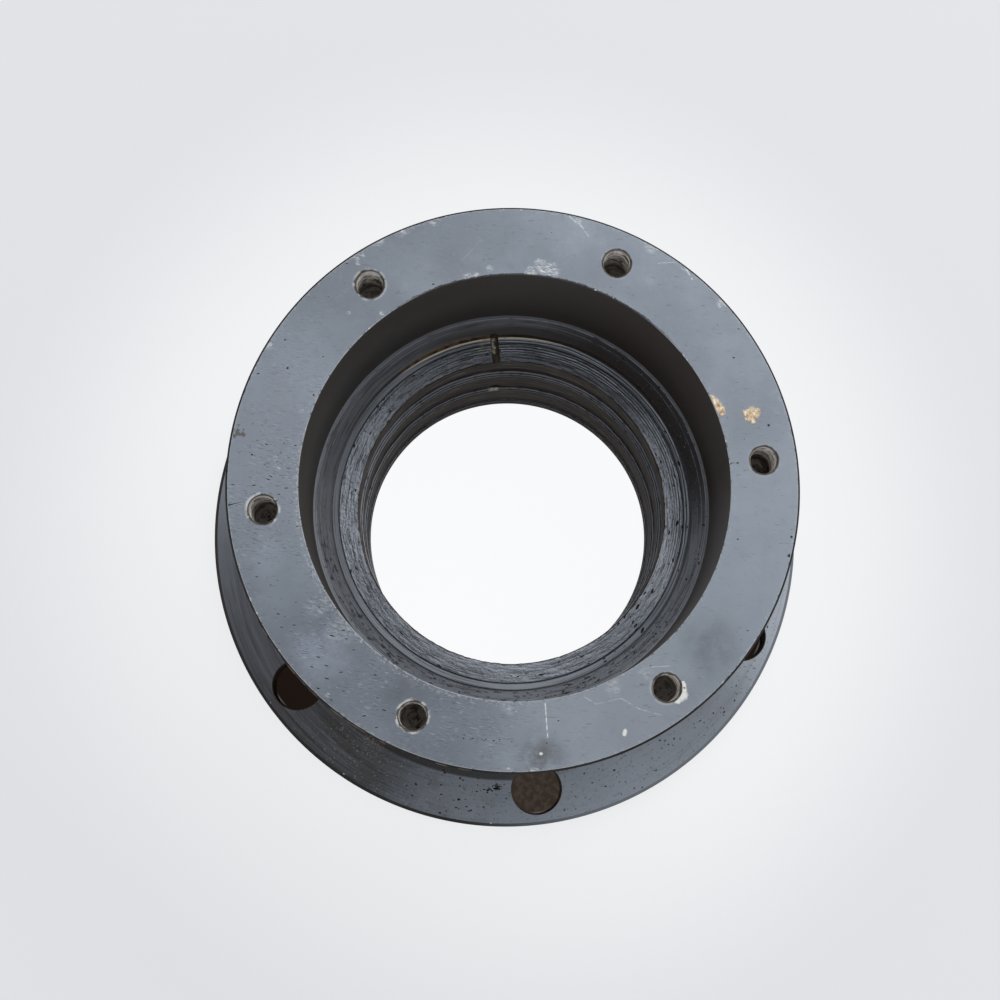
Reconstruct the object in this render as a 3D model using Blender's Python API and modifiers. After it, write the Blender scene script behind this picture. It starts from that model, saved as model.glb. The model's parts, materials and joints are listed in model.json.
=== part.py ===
"""A turned iron pipe flange with a bolting face at each end of a short neck.

The upper face carries six tapped holes round a deep counterbore. The counterbore ends in a cone
and a flat ledge, and the bore below the ledge has three seal grooves. The lower flange is wider
and has six through holes, set half a pitch from the tapped ones.

Lengths are in metres and +Z is up. The origin is the centre of the bottom face. The lubrication
notch in the ledge and the lubrication hole of the second groove lie on the +Y side.
"""
import math

import bmesh
import bpy
from mathutils import Matrix, Vector

# Radii, built outwards from the bore
BORE_DIAMETER = 0.1762
LEDGE_WIDTH = 0.0151
RELIEF_WIDTH = 0.0011
CONE_WIDTH = 0.0074
STEP_WIDTH = 0.0011
TOP_FACE_WIDTH = 0.0372
NECK_WALL = 0.0192
LOWER_FLANGE_WIDTH = 0.0520

# Heights inside, from the top face down to the bottom face
COUNTERBORE_DEPTH = 0.0812
CONE_HEIGHT = 0.0104
CONE_FOOT = 0.0012
FIRST_LAND = 0.0151
FIRST_GROOVE_WIDTH = 0.0215
FIRST_GROOVE_DEPTH = 0.0034
SECOND_LAND = 0.0150
SECOND_GROOVE_WIDTH = 0.0225
SECOND_GROOVE_DEPTH = 0.0021
THIRD_LAND = 0.0185
THIRD_GROOVE_WIDTH = 0.0135
THIRD_GROOVE_DEPTH = 0.0012
END_LAND = 0.0091

# Heights outside
TOP_FLANGE_THICKNESS = 0.0340
LOWER_FLANGE_THICKNESS = 0.0200

# Small turned features
RELIEF_DEPTH = 0.0010
LEDGE_LINE_WIDTH = 0.0012
LEDGE_LINE_DEPTH = 0.0006
LEDGE_LINE_INSET = 0.0037
TOP_EDGE_CHAMFER = 0.0010
MOUTH_CHAMFER = 0.0005
LEDGE_EDGE_CHAMFER = 0.0005
UNDERSIDE_CHAMFER = 0.0012
LOWER_EDGE_CHAMFER = 0.0020
BOTTOM_EDGE_CHAMFER = 0.0012
BORE_END_CHAMFER = 0.0020
NECK_FILLET = 0.0060
FILLET_STEPS = 4

# Holes
HOLE_COUNT = 6
TAPPED_DIAMETER = 0.0140
TAPPED_MOUTH = 0.0010
TAPPED_FLOOR = 0.0060
DRILL_POINT_ANGLE = math.radians(118)
THROUGH_DIAMETER = 0.0310
THROUGH_EDGE_DISTANCE = 0.0221
NOTCH_WIDTH = 0.0046
NOTCH_REACH = 0.0021
LUBE_DIAMETER = 0.0060
LUBE_FLOOR_CLEARANCE = 0.0012

# How finely round forms are divided, and how far a cutter runs past what it cuts
TURN_STEPS = 96
HOLE_STEPS = 28
SMALL_HOLE_STEPS = 16
CUT_MARGIN = 0.0020
MERGE_DISTANCE = 0.00001
SHARP_ANGLE = math.radians(32)

# Sizes that follow from the ones above
BORE_RADIUS = BORE_DIAMETER / 2
LEDGE_RADIUS = BORE_RADIUS + LEDGE_WIDTH
RELIEF_RADIUS = LEDGE_RADIUS + RELIEF_WIDTH
CONE_RADIUS = RELIEF_RADIUS + CONE_WIDTH
COUNTERBORE_RADIUS = CONE_RADIUS + STEP_WIDTH
TOP_RADIUS = COUNTERBORE_RADIUS + TOP_FACE_WIDTH
NECK_RADIUS = COUNTERBORE_RADIUS + NECK_WALL
LOWER_RADIUS = NECK_RADIUS + LOWER_FLANGE_WIDTH
TAPPED_PITCH_RADIUS = COUNTERBORE_RADIUS + TOP_FACE_WIDTH / 2
THROUGH_PITCH_RADIUS = LOWER_RADIUS - THROUGH_EDGE_DISTANCE

# Each groove is the land above it, its own width and its depth into the wall
GROOVES = (
    (FIRST_LAND, FIRST_GROOVE_WIDTH, FIRST_GROOVE_DEPTH),
    (SECOND_LAND, SECOND_GROOVE_WIDTH, SECOND_GROOVE_DEPTH),
    (THIRD_LAND, THIRD_GROOVE_WIDTH, THIRD_GROOVE_DEPTH),
)
LEDGE_DEPTH = COUNTERBORE_DEPTH + CONE_HEIGHT + CONE_FOOT
HEIGHT = LEDGE_DEPTH + sum(land + width for land, width, depth in GROOVES) + END_LAND
LEDGE_Z = HEIGHT - LEDGE_DEPTH
SECOND_GROOVE_FLOOR_Z = LEDGE_Z - sum(land + width for land, width, depth in GROOVES[:2])
LUBE_Z = SECOND_GROOVE_FLOOR_Z + LUBE_FLOOR_CLEARANCE + LUBE_DIAMETER / 2


def clear_scene():
    """Start from an empty scene."""
    for old in list(bpy.data.objects):
        bpy.data.objects.remove(old, do_unlink=True)


def new_collection(name):
    """A collection of the scene that holds one kind of object."""
    group = bpy.data.collections.new(name)
    bpy.context.scene.collection.children.link(group)
    return group


def oiled_iron():
    """Machined iron, blue-grey under a thin film of oil."""
    material = bpy.data.materials.new("oiled_iron")
    material.use_nodes = True
    shader = material.node_tree.nodes["Principled BSDF"]
    shader.inputs["Base Color"].default_value = (0.155, 0.175, 0.205, 1.0)
    shader.inputs["Metallic"].default_value = 0.55
    shader.inputs["Roughness"].default_value = 0.46
    return material


def arc(centre_r, centre_z, radius, start, end):
    """Points of a fillet round a centre, from one angle to another."""
    angles = [start + (end - start) * i / FILLET_STEPS for i in range(FILLET_STEPS + 1)]
    return [(centre_r + radius * math.cos(a), centre_z + radius * math.sin(a)) for a in angles]


def outer_outline():
    """The outside from the top face down to the bottom face, as (radius, height) points."""
    underside = HEIGHT - TOP_FLANGE_THICKNESS
    fillet_r = NECK_RADIUS + NECK_FILLET
    points = [
        (TOP_RADIUS - TOP_EDGE_CHAMFER, HEIGHT),
        (TOP_RADIUS, HEIGHT - TOP_EDGE_CHAMFER),
        (TOP_RADIUS, underside + UNDERSIDE_CHAMFER),
        (TOP_RADIUS - UNDERSIDE_CHAMFER, underside),
    ]
    points += arc(fillet_r, underside - NECK_FILLET, NECK_FILLET, math.pi / 2, math.pi)
    points += arc(fillet_r, LOWER_FLANGE_THICKNESS + NECK_FILLET, NECK_FILLET, math.pi, 1.5 * math.pi)
    points += [
        (LOWER_RADIUS - LOWER_EDGE_CHAMFER, LOWER_FLANGE_THICKNESS),
        (LOWER_RADIUS, LOWER_FLANGE_THICKNESS - LOWER_EDGE_CHAMFER),
        (LOWER_RADIUS, BOTTOM_EDGE_CHAMFER),
        (LOWER_RADIUS - BOTTOM_EDGE_CHAMFER, 0.0),
    ]
    return points


def bore_outline():
    """The bore from the ledge down to the bottom face, with its three grooves."""
    points = [
        (BORE_RADIUS + LEDGE_EDGE_CHAMFER, LEDGE_Z),
        (BORE_RADIUS, LEDGE_Z - LEDGE_EDGE_CHAMFER),
    ]
    z = LEDGE_Z
    for land, width, depth in GROOVES:
        z -= land
        points += [(BORE_RADIUS, z), (BORE_RADIUS + depth, z)]
        z -= width
        points += [(BORE_RADIUS + depth, z), (BORE_RADIUS, z)]
    points += [(BORE_RADIUS, BORE_END_CHAMFER), (BORE_RADIUS + BORE_END_CHAMFER, 0.0)]
    return points


def counterbore_outline():
    """The counterbore from its mouth down to the ledge: wall, step, cone, relief and turned line."""
    cone_top = HEIGHT - COUNTERBORE_DEPTH
    line_r = LEDGE_RADIUS - LEDGE_LINE_INSET
    return [
        (COUNTERBORE_RADIUS + MOUTH_CHAMFER, HEIGHT),
        (COUNTERBORE_RADIUS, HEIGHT - MOUTH_CHAMFER),
        (COUNTERBORE_RADIUS, cone_top),
        (CONE_RADIUS, cone_top),
        (RELIEF_RADIUS, cone_top - CONE_HEIGHT),
        (RELIEF_RADIUS, LEDGE_Z - RELIEF_DEPTH),
        (LEDGE_RADIUS, LEDGE_Z - RELIEF_DEPTH),
        (LEDGE_RADIUS, LEDGE_Z),
        (line_r + LEDGE_LINE_WIDTH / 2, LEDGE_Z),
        (line_r, LEDGE_Z - LEDGE_LINE_DEPTH),
        (line_r - LEDGE_LINE_WIDTH / 2, LEDGE_Z),
    ]


def body_outline():
    """The whole section as one loop: down the outside, then up the bore and the counterbore."""
    inside = counterbore_outline() + bore_outline()
    return outer_outline() + inside[::-1]


def turned(name, outline, steps, group, closed):
    """A body of revolution about Z. The outline runs down its outer side."""
    edges = [(i, i + 1) for i in range(len(outline) - 1)]
    if closed:
        edges.append((len(outline) - 1, 0))
    mesh = bpy.data.meshes.new(name)
    mesh.from_pydata([(r, 0.0, z) for r, z in outline], edges, [])
    body = bpy.data.objects.new(name, mesh)
    group.objects.link(body)
    screw = body.modifiers.new("turn", "SCREW")
    screw.axis = "Z"
    screw.angle = 2 * math.pi
    screw.steps = steps
    screw.render_steps = steps
    screw.use_merge_vertices = True
    screw.merge_threshold = MERGE_DISTANCE
    return body


def as_cutter(tool):
    """Mark an object as a tool shape, shown as wire and never rendered."""
    tool.hide_render = True
    tool.display_type = "WIRE"
    return tool


def straight_cutter(name, radius, length, steps, group):
    """A plain round cutter, centred on its own origin along Z."""
    shape = bmesh.new()
    bmesh.ops.create_cone(
        shape, cap_ends=True, segments=steps, radius1=radius, radius2=radius, depth=length)
    mesh = bpy.data.meshes.new(name)
    shape.to_mesh(mesh)
    shape.free()
    tool = bpy.data.objects.new(name, mesh)
    group.objects.link(tool)
    return as_cutter(tool)


def tapped_cutter(name, group):
    """A drilled hole with a cone at its floor and a countersunk mouth at height zero."""
    radius = TAPPED_DIAMETER / 2
    depth = TOP_FLANGE_THICKNESS - TAPPED_FLOOR
    point = radius / math.tan(DRILL_POINT_ANGLE / 2)
    outline = [
        (0.0, CUT_MARGIN),
        (radius + TAPPED_MOUTH + CUT_MARGIN, CUT_MARGIN),
        (radius, -TAPPED_MOUTH),
        (radius, -depth),
        (0.0, -depth - point),
    ]
    return as_cutter(turned(name, outline, HOLE_STEPS, group, closed=False))


def pitch_point(pitch_radius, angle, z):
    """A place on a pitch circle round the axis."""
    return Vector((pitch_radius * math.cos(angle), pitch_radius * math.sin(angle), z))


def add_holes(group):
    """Six tapped holes in the top face, and six through holes half a pitch away in the lower flange."""
    pitch = 2 * math.pi / HOLE_COUNT
    length = LOWER_FLANGE_THICKNESS + 2 * CUT_MARGIN
    for i in range(HOLE_COUNT):
        tapped = tapped_cutter(f"tapped_hole_{i + 1}", group)
        tapped.location = pitch_point(TAPPED_PITCH_RADIUS, i * pitch, HEIGHT)
        through = straight_cutter(
            f"through_hole_{i + 1}", THROUGH_DIAMETER / 2, length, HOLE_STEPS, group)
        through.location = pitch_point(
            THROUGH_PITCH_RADIUS, (i + 0.5) * pitch, LOWER_FLANGE_THICKNESS / 2)


def add_lubrication(group):
    """A round notch across the ledge, and below it a hole through the wall into the second groove."""
    along_y = Matrix.Rotation(math.pi / 2, 4, "X")
    notch_inner = BORE_RADIUS - CUT_MARGIN
    notch_outer = LEDGE_RADIUS + NOTCH_REACH
    notch = straight_cutter(
        "ledge_notch", NOTCH_WIDTH / 2, notch_outer - notch_inner, SMALL_HOLE_STEPS, group)
    notch.matrix_world = Matrix.Translation((0.0, (notch_inner + notch_outer) / 2, LEDGE_Z)) @ along_y

    hole_inner = BORE_RADIUS
    hole_outer = NECK_RADIUS + CUT_MARGIN
    hole = straight_cutter(
        "lubrication_hole", LUBE_DIAMETER / 2, hole_outer - hole_inner, SMALL_HOLE_STEPS, group)
    hole.matrix_world = Matrix.Translation((0.0, (hole_inner + hole_outer) / 2, LUBE_Z)) @ along_y


def settle(body):
    """Turn the body and its cuts into one plain mesh, smooth over its round faces."""
    bpy.context.view_layer.update()
    shown = body.evaluated_get(bpy.context.evaluated_depsgraph_get())
    mesh = bpy.data.meshes.new_from_object(shown)
    mesh.name = body.name
    body.modifiers.clear()
    body.data = mesh
    mesh.shade_smooth()
    mesh.set_sharp_from_angle(angle=SHARP_ANGLE)


def build():
    """Turn the body, cut its holes and give it its material."""
    clear_scene()
    parts = new_collection("pipe_flange")
    cutters = new_collection("pipe_flange_cutters")
    body = turned("flange_body", body_outline(), TURN_STEPS, parts, closed=True)
    add_holes(cutters)
    add_lubrication(cutters)
    drill = body.modifiers.new("drill", "BOOLEAN")
    drill.operation = "DIFFERENCE"
    drill.solver = "EXACT"
    drill.operand_type = "COLLECTION"
    drill.collection = cutters
    settle(body)
    body.data.materials.clear()
    body.data.materials.append(oiled_iron())


build()
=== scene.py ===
# %% [markdown]
# # A turned pipe flange, oiled and worn
#
# The real flange is one casting that was turned all over on a lathe, drilled and tapped, and then
# lay about in an oily workshop. Nothing on it is a separate piece, so this lesson makes one mesh.
# It has the same section as the plain solid of the frame, and adds what a step away shows: threads
# in the tapped holes, ridges that the tool left, pits of the casting and nicks along the edges.
# The frame comes first, because every size below starts from it.

# %% Load the frame
import contextlib
import json
import math
import time

import bmesh
import bpy
from mathutils import Euler, Matrix, Vector

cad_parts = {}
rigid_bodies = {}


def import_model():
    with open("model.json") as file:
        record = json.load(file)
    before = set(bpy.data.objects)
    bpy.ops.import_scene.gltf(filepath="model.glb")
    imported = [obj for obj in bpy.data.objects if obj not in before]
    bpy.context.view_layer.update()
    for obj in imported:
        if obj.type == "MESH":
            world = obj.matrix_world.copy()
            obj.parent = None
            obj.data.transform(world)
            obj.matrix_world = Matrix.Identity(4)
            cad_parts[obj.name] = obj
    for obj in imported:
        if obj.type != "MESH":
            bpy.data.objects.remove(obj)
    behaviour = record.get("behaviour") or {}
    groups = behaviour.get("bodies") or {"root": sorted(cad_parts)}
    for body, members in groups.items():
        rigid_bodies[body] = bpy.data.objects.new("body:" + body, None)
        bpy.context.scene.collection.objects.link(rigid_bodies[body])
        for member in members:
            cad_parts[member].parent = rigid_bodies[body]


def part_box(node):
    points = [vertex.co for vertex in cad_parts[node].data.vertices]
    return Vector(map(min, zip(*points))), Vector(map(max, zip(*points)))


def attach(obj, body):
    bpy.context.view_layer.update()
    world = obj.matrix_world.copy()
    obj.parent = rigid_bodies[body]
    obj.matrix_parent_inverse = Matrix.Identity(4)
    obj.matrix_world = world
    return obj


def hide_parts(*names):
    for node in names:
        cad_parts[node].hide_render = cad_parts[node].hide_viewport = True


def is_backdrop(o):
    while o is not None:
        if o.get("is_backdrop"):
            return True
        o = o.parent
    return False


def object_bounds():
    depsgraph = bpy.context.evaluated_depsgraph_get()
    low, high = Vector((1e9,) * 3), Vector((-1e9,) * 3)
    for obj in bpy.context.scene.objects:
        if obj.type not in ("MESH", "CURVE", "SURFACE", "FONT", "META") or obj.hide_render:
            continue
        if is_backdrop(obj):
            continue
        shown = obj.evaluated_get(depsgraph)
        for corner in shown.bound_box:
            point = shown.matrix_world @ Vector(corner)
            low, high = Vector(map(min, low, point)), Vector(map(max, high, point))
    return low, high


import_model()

started = time.time()
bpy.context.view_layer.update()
body_low, body_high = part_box("flange_body")
print("frame:", [round(v, 4) for v in body_low], "to", [round(v, 4) for v in body_high])

# %% [markdown]
# # Socket sums
#
# Both kinds of node tree used here, geometry and shader, are mostly arithmetic. A small class wraps
# one output socket, and Python's own signs add the Math nodes, so that a formula reads as one. Any
# other node comes from Graph.node, which takes its type, its settings and what feeds its sockets.
# A smooth step between two values is so common that it gets a name of its own.

# %% Wrap a socket and build a tree
MATH = "ShaderNodeMath"
VECTOR = "ShaderNodeVectorMath"


def pick(sockets, name):
    """A socket by its number, or the first one in use that has the name."""
    if isinstance(name, int):
        return sockets[name]
    return next(s for s in sockets if s.name == name and s.enabled)


class Wire:
    """One output of a tree, with the signs of arithmetic."""

    def __init__(self, graph, socket):
        self.graph = graph
        self.socket = socket

    def __getitem__(self, name):
        """Another output of the same node."""
        return Wire(self.graph, pick(self.socket.node.outputs, name))

    def math(self, operation, *others):
        return self.graph.node(MATH, {"operation": operation}, dict(enumerate((self, *others))))

    def __rsub__(self, other):
        return self.graph.node(MATH, {"operation": "SUBTRACT"}, {0: other, 1: self})

    def __abs__(self):
        return self.math("ABSOLUTE")

    def step(self, start, end):
        """0 at start and 1 at end, smooth between them. The end may be the lower one."""
        return self.graph.node(
            "ShaderNodeMapRange", {"interpolation_type": "SMOOTHSTEP"},
            {"Value": self, "From Min": start, "From Max": end})


OPERATIONS = {
    "__add__": "ADD", "__radd__": "ADD", "__sub__": "SUBTRACT", "__mul__": "MULTIPLY",
    "__rmul__": "MULTIPLY", "__truediv__": "DIVIDE", "__pow__": "POWER", "__lt__": "LESS_THAN",
    "at_least": "MAXIMUM", "at_most": "MINIMUM"}
for sign, operation in OPERATIONS.items():
    setattr(Wire, sign, lambda self, other, name=operation: self.math(name, other))


class Graph:
    """A node tree while it is being built."""

    def __init__(self, tree):
        self.tree = tree

    def node(self, kind, settings=None, sockets=None, output=None):
        """Add a node: settings are set first, then each socket gets its value or its link."""
        made = self.tree.nodes.new(kind)
        for name, value in (settings or {}).items():
            setattr(made, name, value)
        for name, value in (sockets or {}).items():
            socket = pick(made.inputs, name)
            if isinstance(value, Wire):
                self.tree.links.new(value.socket, socket)
            else:
                socket.default_value = value
        if not made.outputs:
            return None
        used = output if output is not None else next(s.name for s in made.outputs if s.enabled)
        return Wire(self, pick(made.outputs, used))

    def vector(self, x, y, z):
        return self.node("ShaderNodeCombineXYZ", None, {"X": x, "Y": y, "Z": z})

    def noise(self, vector, scale=1.0, detail=2.0, roughness=0.5, distortion=0.0):
        return self.node("ShaderNodeTexNoise", None, {
            "Vector": vector, "Scale": scale, "Detail": detail, "Roughness": roughness,
            "Distortion": distortion})


def polar(radius, degrees):
    """X and Y of a point that is given by its radius and its angle."""
    return radius * math.cos(math.radians(degrees)), radius * math.sin(math.radians(degrees))


class Round:
    """A point's place on a turned part: how far out, how far round and how high."""

    def __init__(self, graph, point):
        split = graph.node("ShaderNodeSeparateXYZ", None, {"Vector": point})
        self.graph = graph
        self.point = point
        self.x, self.y, self.z = (split[axis] for axis in "XYZ")
        self.radius = (self.x * self.x + self.y * self.y).math("SQRT")
        self.cos = self.x / self.radius
        self.sin = self.y / self.radius

    def facing(self, degrees):
        """1 on the side that lies at an angle, 0 a quarter turn away and -1 on the far side."""
        x, y = polar(1.0, degrees)
        return self.cos * x + self.sin * y

    def side(self, degrees, start, end=1.0):
        """A mask of the side that lies at an angle, which fades in between two values of facing."""
        return self.facing(degrees).step(start, end)

    def streaks(self, around, across, along_axis=False, **more):
        """Noise drawn out along the turning direction, in cells per metre across it."""
        run = self.z if along_axis else self.radius
        return self.graph.noise(
            self.graph.vector(self.cos * around, self.sin * around, run * across), **more)


# %% [markdown]
# # The section
#
# A lathe part is its section. The loop below runs from the mouth of the counterbore outwards over
# the upper face, down the outside, and back up through the bore. It is cut into stretches, and each
# stretch has the finish that the real surface has there. A stretch that will carry tool ridges
# gets many points, and a plain wall gets few. The outer sizes come from the frame, and the
# rest are the driving sizes of the part, in metres.

# %% Driving sizes
HEIGHT = body_high.z
LOWER_RADIUS = body_high.x
TOP_RADIUS = 0.15
NECK_RADIUS = 0.132
COUNTERBORE_RADIUS = 0.1128
CONE_RADIUS = 0.1117
RELIEF_RADIUS = 0.1043
LEDGE_RADIUS = 0.1032
BORE_RADIUS = 0.0881
TOP_FLANGE_THICKNESS = 0.034
LOWER_FLANGE_THICKNESS = 0.02
CONE_TOP = HEIGHT - 0.0812
CONE_FOOT = CONE_TOP - 0.0104
LEDGE_Z = CONE_FOOT - 0.0012
RELIEF_DEPTH = 0.001
LEDGE_LINE_RADIUS = LEDGE_RADIUS - 0.0037
LEDGE_LINE_WIDTH = 0.0012
LEDGE_LINE_DEPTH = 0.0006
EDGE = 0.0005
WORN = 0.0003
TOP_CHAMFER = 0.0012
LOWER_CHAMFER = 0.002
NECK_FILLET = 0.006
GROOVES = ((0.0151, 0.0215, 0.0034), (0.015, 0.0225, 0.0021), (0.0185, 0.0135, 0.0012))
print("ledge at", round(LEDGE_Z, 4), "of", round(HEIGHT, 4))

# %% Stretches of the section
FINISHES = (
    "worn_edge", "turned_face", "dark_chamfer", "turned_side", "lower_face", "bottom_face",
    "bore_wall", "groove_floor", "ledge_face", "ledge_rim", "relief", "cone_face", "cone_rim",
    "counterbore_wall")


def spread(start, end, count):
    """Evenly spaced points of the section from start to end, both included."""
    return [tuple(a + (b - a) * i / count for a, b in zip(start, end)) for i in range(count + 1)]


def fillet(centre_r, centre_z, radius, start, end, count=6):
    """Points of an arc of the section, between two angles in degrees."""
    angles = [math.radians(start + (end - start) * i / count) for i in range(count + 1)]
    return [(centre_r + radius * math.cos(a), centre_z + radius * math.sin(a)) for a in angles]


def outside():
    """From the mouth of the counterbore over the upper face and down to the bottom face."""
    underside, lower_top = HEIGHT - TOP_FLANGE_THICKNESS, LOWER_FLANGE_THICKNESS
    neck_top, neck_foot = underside - NECK_FILLET, lower_top + NECK_FILLET
    neck_edge = NECK_RADIUS + NECK_FILLET
    face_end = (TOP_RADIUS - TOP_CHAMFER - WORN, HEIGHT)
    chamfer_start = (TOP_RADIUS - TOP_CHAMFER, HEIGHT - WORN)
    chamfer_end = (TOP_RADIUS, HEIGHT - WORN - TOP_CHAMFER)
    lower_end = (LOWER_RADIUS - LOWER_CHAMFER, lower_top)
    lower_side = (LOWER_RADIUS, lower_top - LOWER_CHAMFER)
    foot = (LOWER_RADIUS - TOP_CHAMFER, 0.0)
    mouth = (COUNTERBORE_RADIUS + EDGE, HEIGHT)
    return [
        ("worn_edge", [(COUNTERBORE_RADIUS, HEIGHT - EDGE), mouth]),
        ("turned_face", spread(mouth, face_end, 4)),
        ("worn_edge", [face_end, chamfer_start]),
        ("dark_chamfer", [chamfer_start, chamfer_end]),
        ("turned_side",
            spread(chamfer_end, (TOP_RADIUS, underside + TOP_CHAMFER), 5)
            + [(TOP_RADIUS - TOP_CHAMFER, underside)]
            + fillet(neck_edge, neck_top, NECK_FILLET, 90, 180)
            + spread((NECK_RADIUS, neck_top), (NECK_RADIUS, neck_foot), 9)[1:-1]
            + fillet(neck_edge, neck_foot, NECK_FILLET, 180, 270)),
        ("lower_face", spread((neck_edge, lower_top), lower_end, 52)),
        ("dark_chamfer", [lower_end, lower_side]),
        ("turned_side", spread(lower_side, (LOWER_RADIUS, TOP_CHAMFER), 4) + [foot]),
        ("bottom_face", spread(foot, (BORE_RADIUS + LOWER_CHAMFER, 0.0), 4)),
    ]


def inside():
    """From the ledge's inner edge down the bore, and the ledge and counterbore above it."""
    ledge_start = (BORE_RADIUS + EDGE, LEDGE_Z)
    walls = [("bore_wall", [ledge_start, (BORE_RADIUS, LEDGE_Z - EDGE)])]
    z = LEDGE_Z
    top = LEDGE_Z - EDGE
    for land, width, depth in GROOVES:
        z -= land
        corner = (BORE_RADIUS + depth, z - width + depth * 0.2)
        walls.append(("bore_wall", spread((BORE_RADIUS, top), (BORE_RADIUS, z), 4)
                      + [(BORE_RADIUS + depth, z), corner]))
        z -= width
        walls.append(("groove_floor", [corner]
                      + spread((BORE_RADIUS + depth * 0.8, z), (BORE_RADIUS, z), 3)))
        top = z
    walls.append(("bore_wall", [(BORE_RADIUS, top), (BORE_RADIUS, LOWER_CHAMFER),
                                (BORE_RADIUS + LOWER_CHAMFER, 0.0)]))
    half_line = LEDGE_LINE_WIDTH / 2
    rim_start, rim_end = (LEDGE_RADIUS - WORN, LEDGE_Z), (LEDGE_RADIUS, LEDGE_Z - WORN)
    cone_foot, cone_end = (RELIEF_RADIUS, CONE_FOOT), (CONE_RADIUS - WORN, CONE_TOP - 1.4 * WORN)
    wall_foot = (COUNTERBORE_RADIUS, CONE_TOP)
    seat = [
        ("ledge_face", spread(ledge_start, (LEDGE_LINE_RADIUS - half_line, LEDGE_Z), 36)
            + [(LEDGE_LINE_RADIUS, LEDGE_Z - LEDGE_LINE_DEPTH)]
            + spread((LEDGE_LINE_RADIUS + half_line, LEDGE_Z), rim_start, 10)),
        ("ledge_rim", [rim_start, rim_end]),
        ("relief", [rim_end, (LEDGE_RADIUS, LEDGE_Z - RELIEF_DEPTH),
                    (RELIEF_RADIUS, LEDGE_Z - RELIEF_DEPTH), cone_foot]),
        ("cone_face", spread(cone_foot, cone_end, 6)),
        ("cone_rim", [cone_end, (CONE_RADIUS, CONE_TOP), wall_foot]),
        ("counterbore_wall", spread(wall_foot, (COUNTERBORE_RADIUS, HEIGHT - EDGE), 7)),
    ]
    down = [(finish, points[::-1]) for finish, points in walls[::-1]]
    return down + seat


stretches = outside() + inside()
section_edges = sum(len(points) - 1 for _, points in stretches)
print(len(stretches), "stretches,", section_edges, "edges of section")

# %% [markdown]
# # Turning the section
#
# Spinning the section round the axis is a rule, so Geometry Nodes do it: the section is swept along
# a circle. Each stretch is a curve of its own that carries the number of its finish, so its faces
# get the right material before the stretches are welded. The same tree then moves points by well
# under a millimetre: ridges on the ledge, turning marks on the lower flange and a chipped inner
# edge. The wear is real shape, because the light catches it from a low angle.

# %% Helpers for geometry trees and meshes
def put_in_scene(name, data):
    made = bpy.data.objects.new(name, data)
    bpy.context.scene.collection.objects.link(made)
    return made


@contextlib.contextmanager
def edited(mesh):
    """Open a mesh for editing, and write it back at the end."""
    shape = bmesh.new()
    shape.from_mesh(mesh)
    yield shape
    shape.to_mesh(mesh)
    shape.free()


def new_material(name):
    material = bpy.data.materials.new(name)
    material.use_nodes = True
    return material


CUT_FINISHES = ("thread", "drilled_wall", "pit", "nick")
materials = {name: new_material(name) for name in FINISHES + CUT_FINISHES}


def geometry_tree(name, inputs):
    """A tree with a geometry in and out, and named inputs that are whole or real numbers."""
    tree = bpy.data.node_groups.new(name, "GeometryNodeTree")
    tree.interface.new_socket("Geometry", in_out="OUTPUT", socket_type="NodeSocketGeometry")
    tree.interface.new_socket("Geometry", in_out="INPUT", socket_type="NodeSocketGeometry")
    for label, value in inputs.items():
        kind = "NodeSocketInt" if isinstance(value, int) else "NodeSocketFloat"
        socket = tree.interface.new_socket(label, in_out="INPUT", socket_type=kind)
        socket.default_value = value
    graph = Graph(tree)
    return graph, graph.node("NodeGroupInput")


def close_tree(graph, geometry, chosen):
    """End a tree: Realize Instances, then Set Material for each (material, selection)."""
    shape = graph.node("GeometryNodeRealizeInstances", None, {"Geometry": geometry})
    for name, selection in chosen:
        shape = graph.node("GeometryNodeSetMaterial", None, {
            "Geometry": shape, "Selection": selection, "Material": materials[name]})
    graph.node("NodeGroupOutput", None, {"Geometry": shape})
    return graph.tree


def run_tree(start_mesh, tree, values):
    """Run a tree on a mesh with these inputs, and return the result as a plain mesh object."""
    obj = put_in_scene(start_mesh.name, start_mesh)
    modifier = obj.modifiers.new("nodes", "NODES")
    modifier.node_group = tree
    for item in tree.interface.items_tree:
        if item.in_out == "INPUT" and item.name in values:
            modifier[item.identifier] = values[item.name]
    return as_mesh(obj)


def as_mesh(obj):
    """Turn an object's evaluated shape into its plain mesh, with no modifiers left."""
    bpy.context.view_layer.update()
    shown = obj.evaluated_get(bpy.context.evaluated_depsgraph_get())
    mesh = bpy.data.meshes.new_from_object(shown)
    obj.modifiers.clear()
    obj.data = mesh
    return obj


# %% The section as loose curves
GUIDE_RADIUS = 0.12


def section_mesh(name):
    """The stretches side by side, each point marked with its finish, measured from the guide."""
    places, edges, marks = [], [], []
    for finish, points in stretches:
        first = len(places)
        places += [(r - GUIDE_RADIUS, -z, 0.0) for r, z in points]
        edges += [(first + i, first + i + 1) for i in range(len(points) - 1)]
        marks += [FINISHES.index(finish)] * len(points)
    mesh = bpy.data.meshes.new(name)
    mesh.from_pydata(places, edges, [])
    mesh.attributes.new("finish", "INT", "POINT").data.foreach_set("value", marks)
    return mesh


# %% The wear that moves points
RIDGE_PITCH = 0.0014
RIDGE_DEPTH = 0.0003
LEDGE_ROUGHNESS = 0.00034
TOOL_MARK_PITCH = 0.0023
TOOL_MARK_DEPTH = 0.0001
CHIP_DEPTH = 0.0009
CHIP_REACH = 0.003
ON_FACE = 0.0004
RIDGED_BAND = (0.0908, 0.0945)
MARKED_BAND = (0.139, 0.14)


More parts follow.
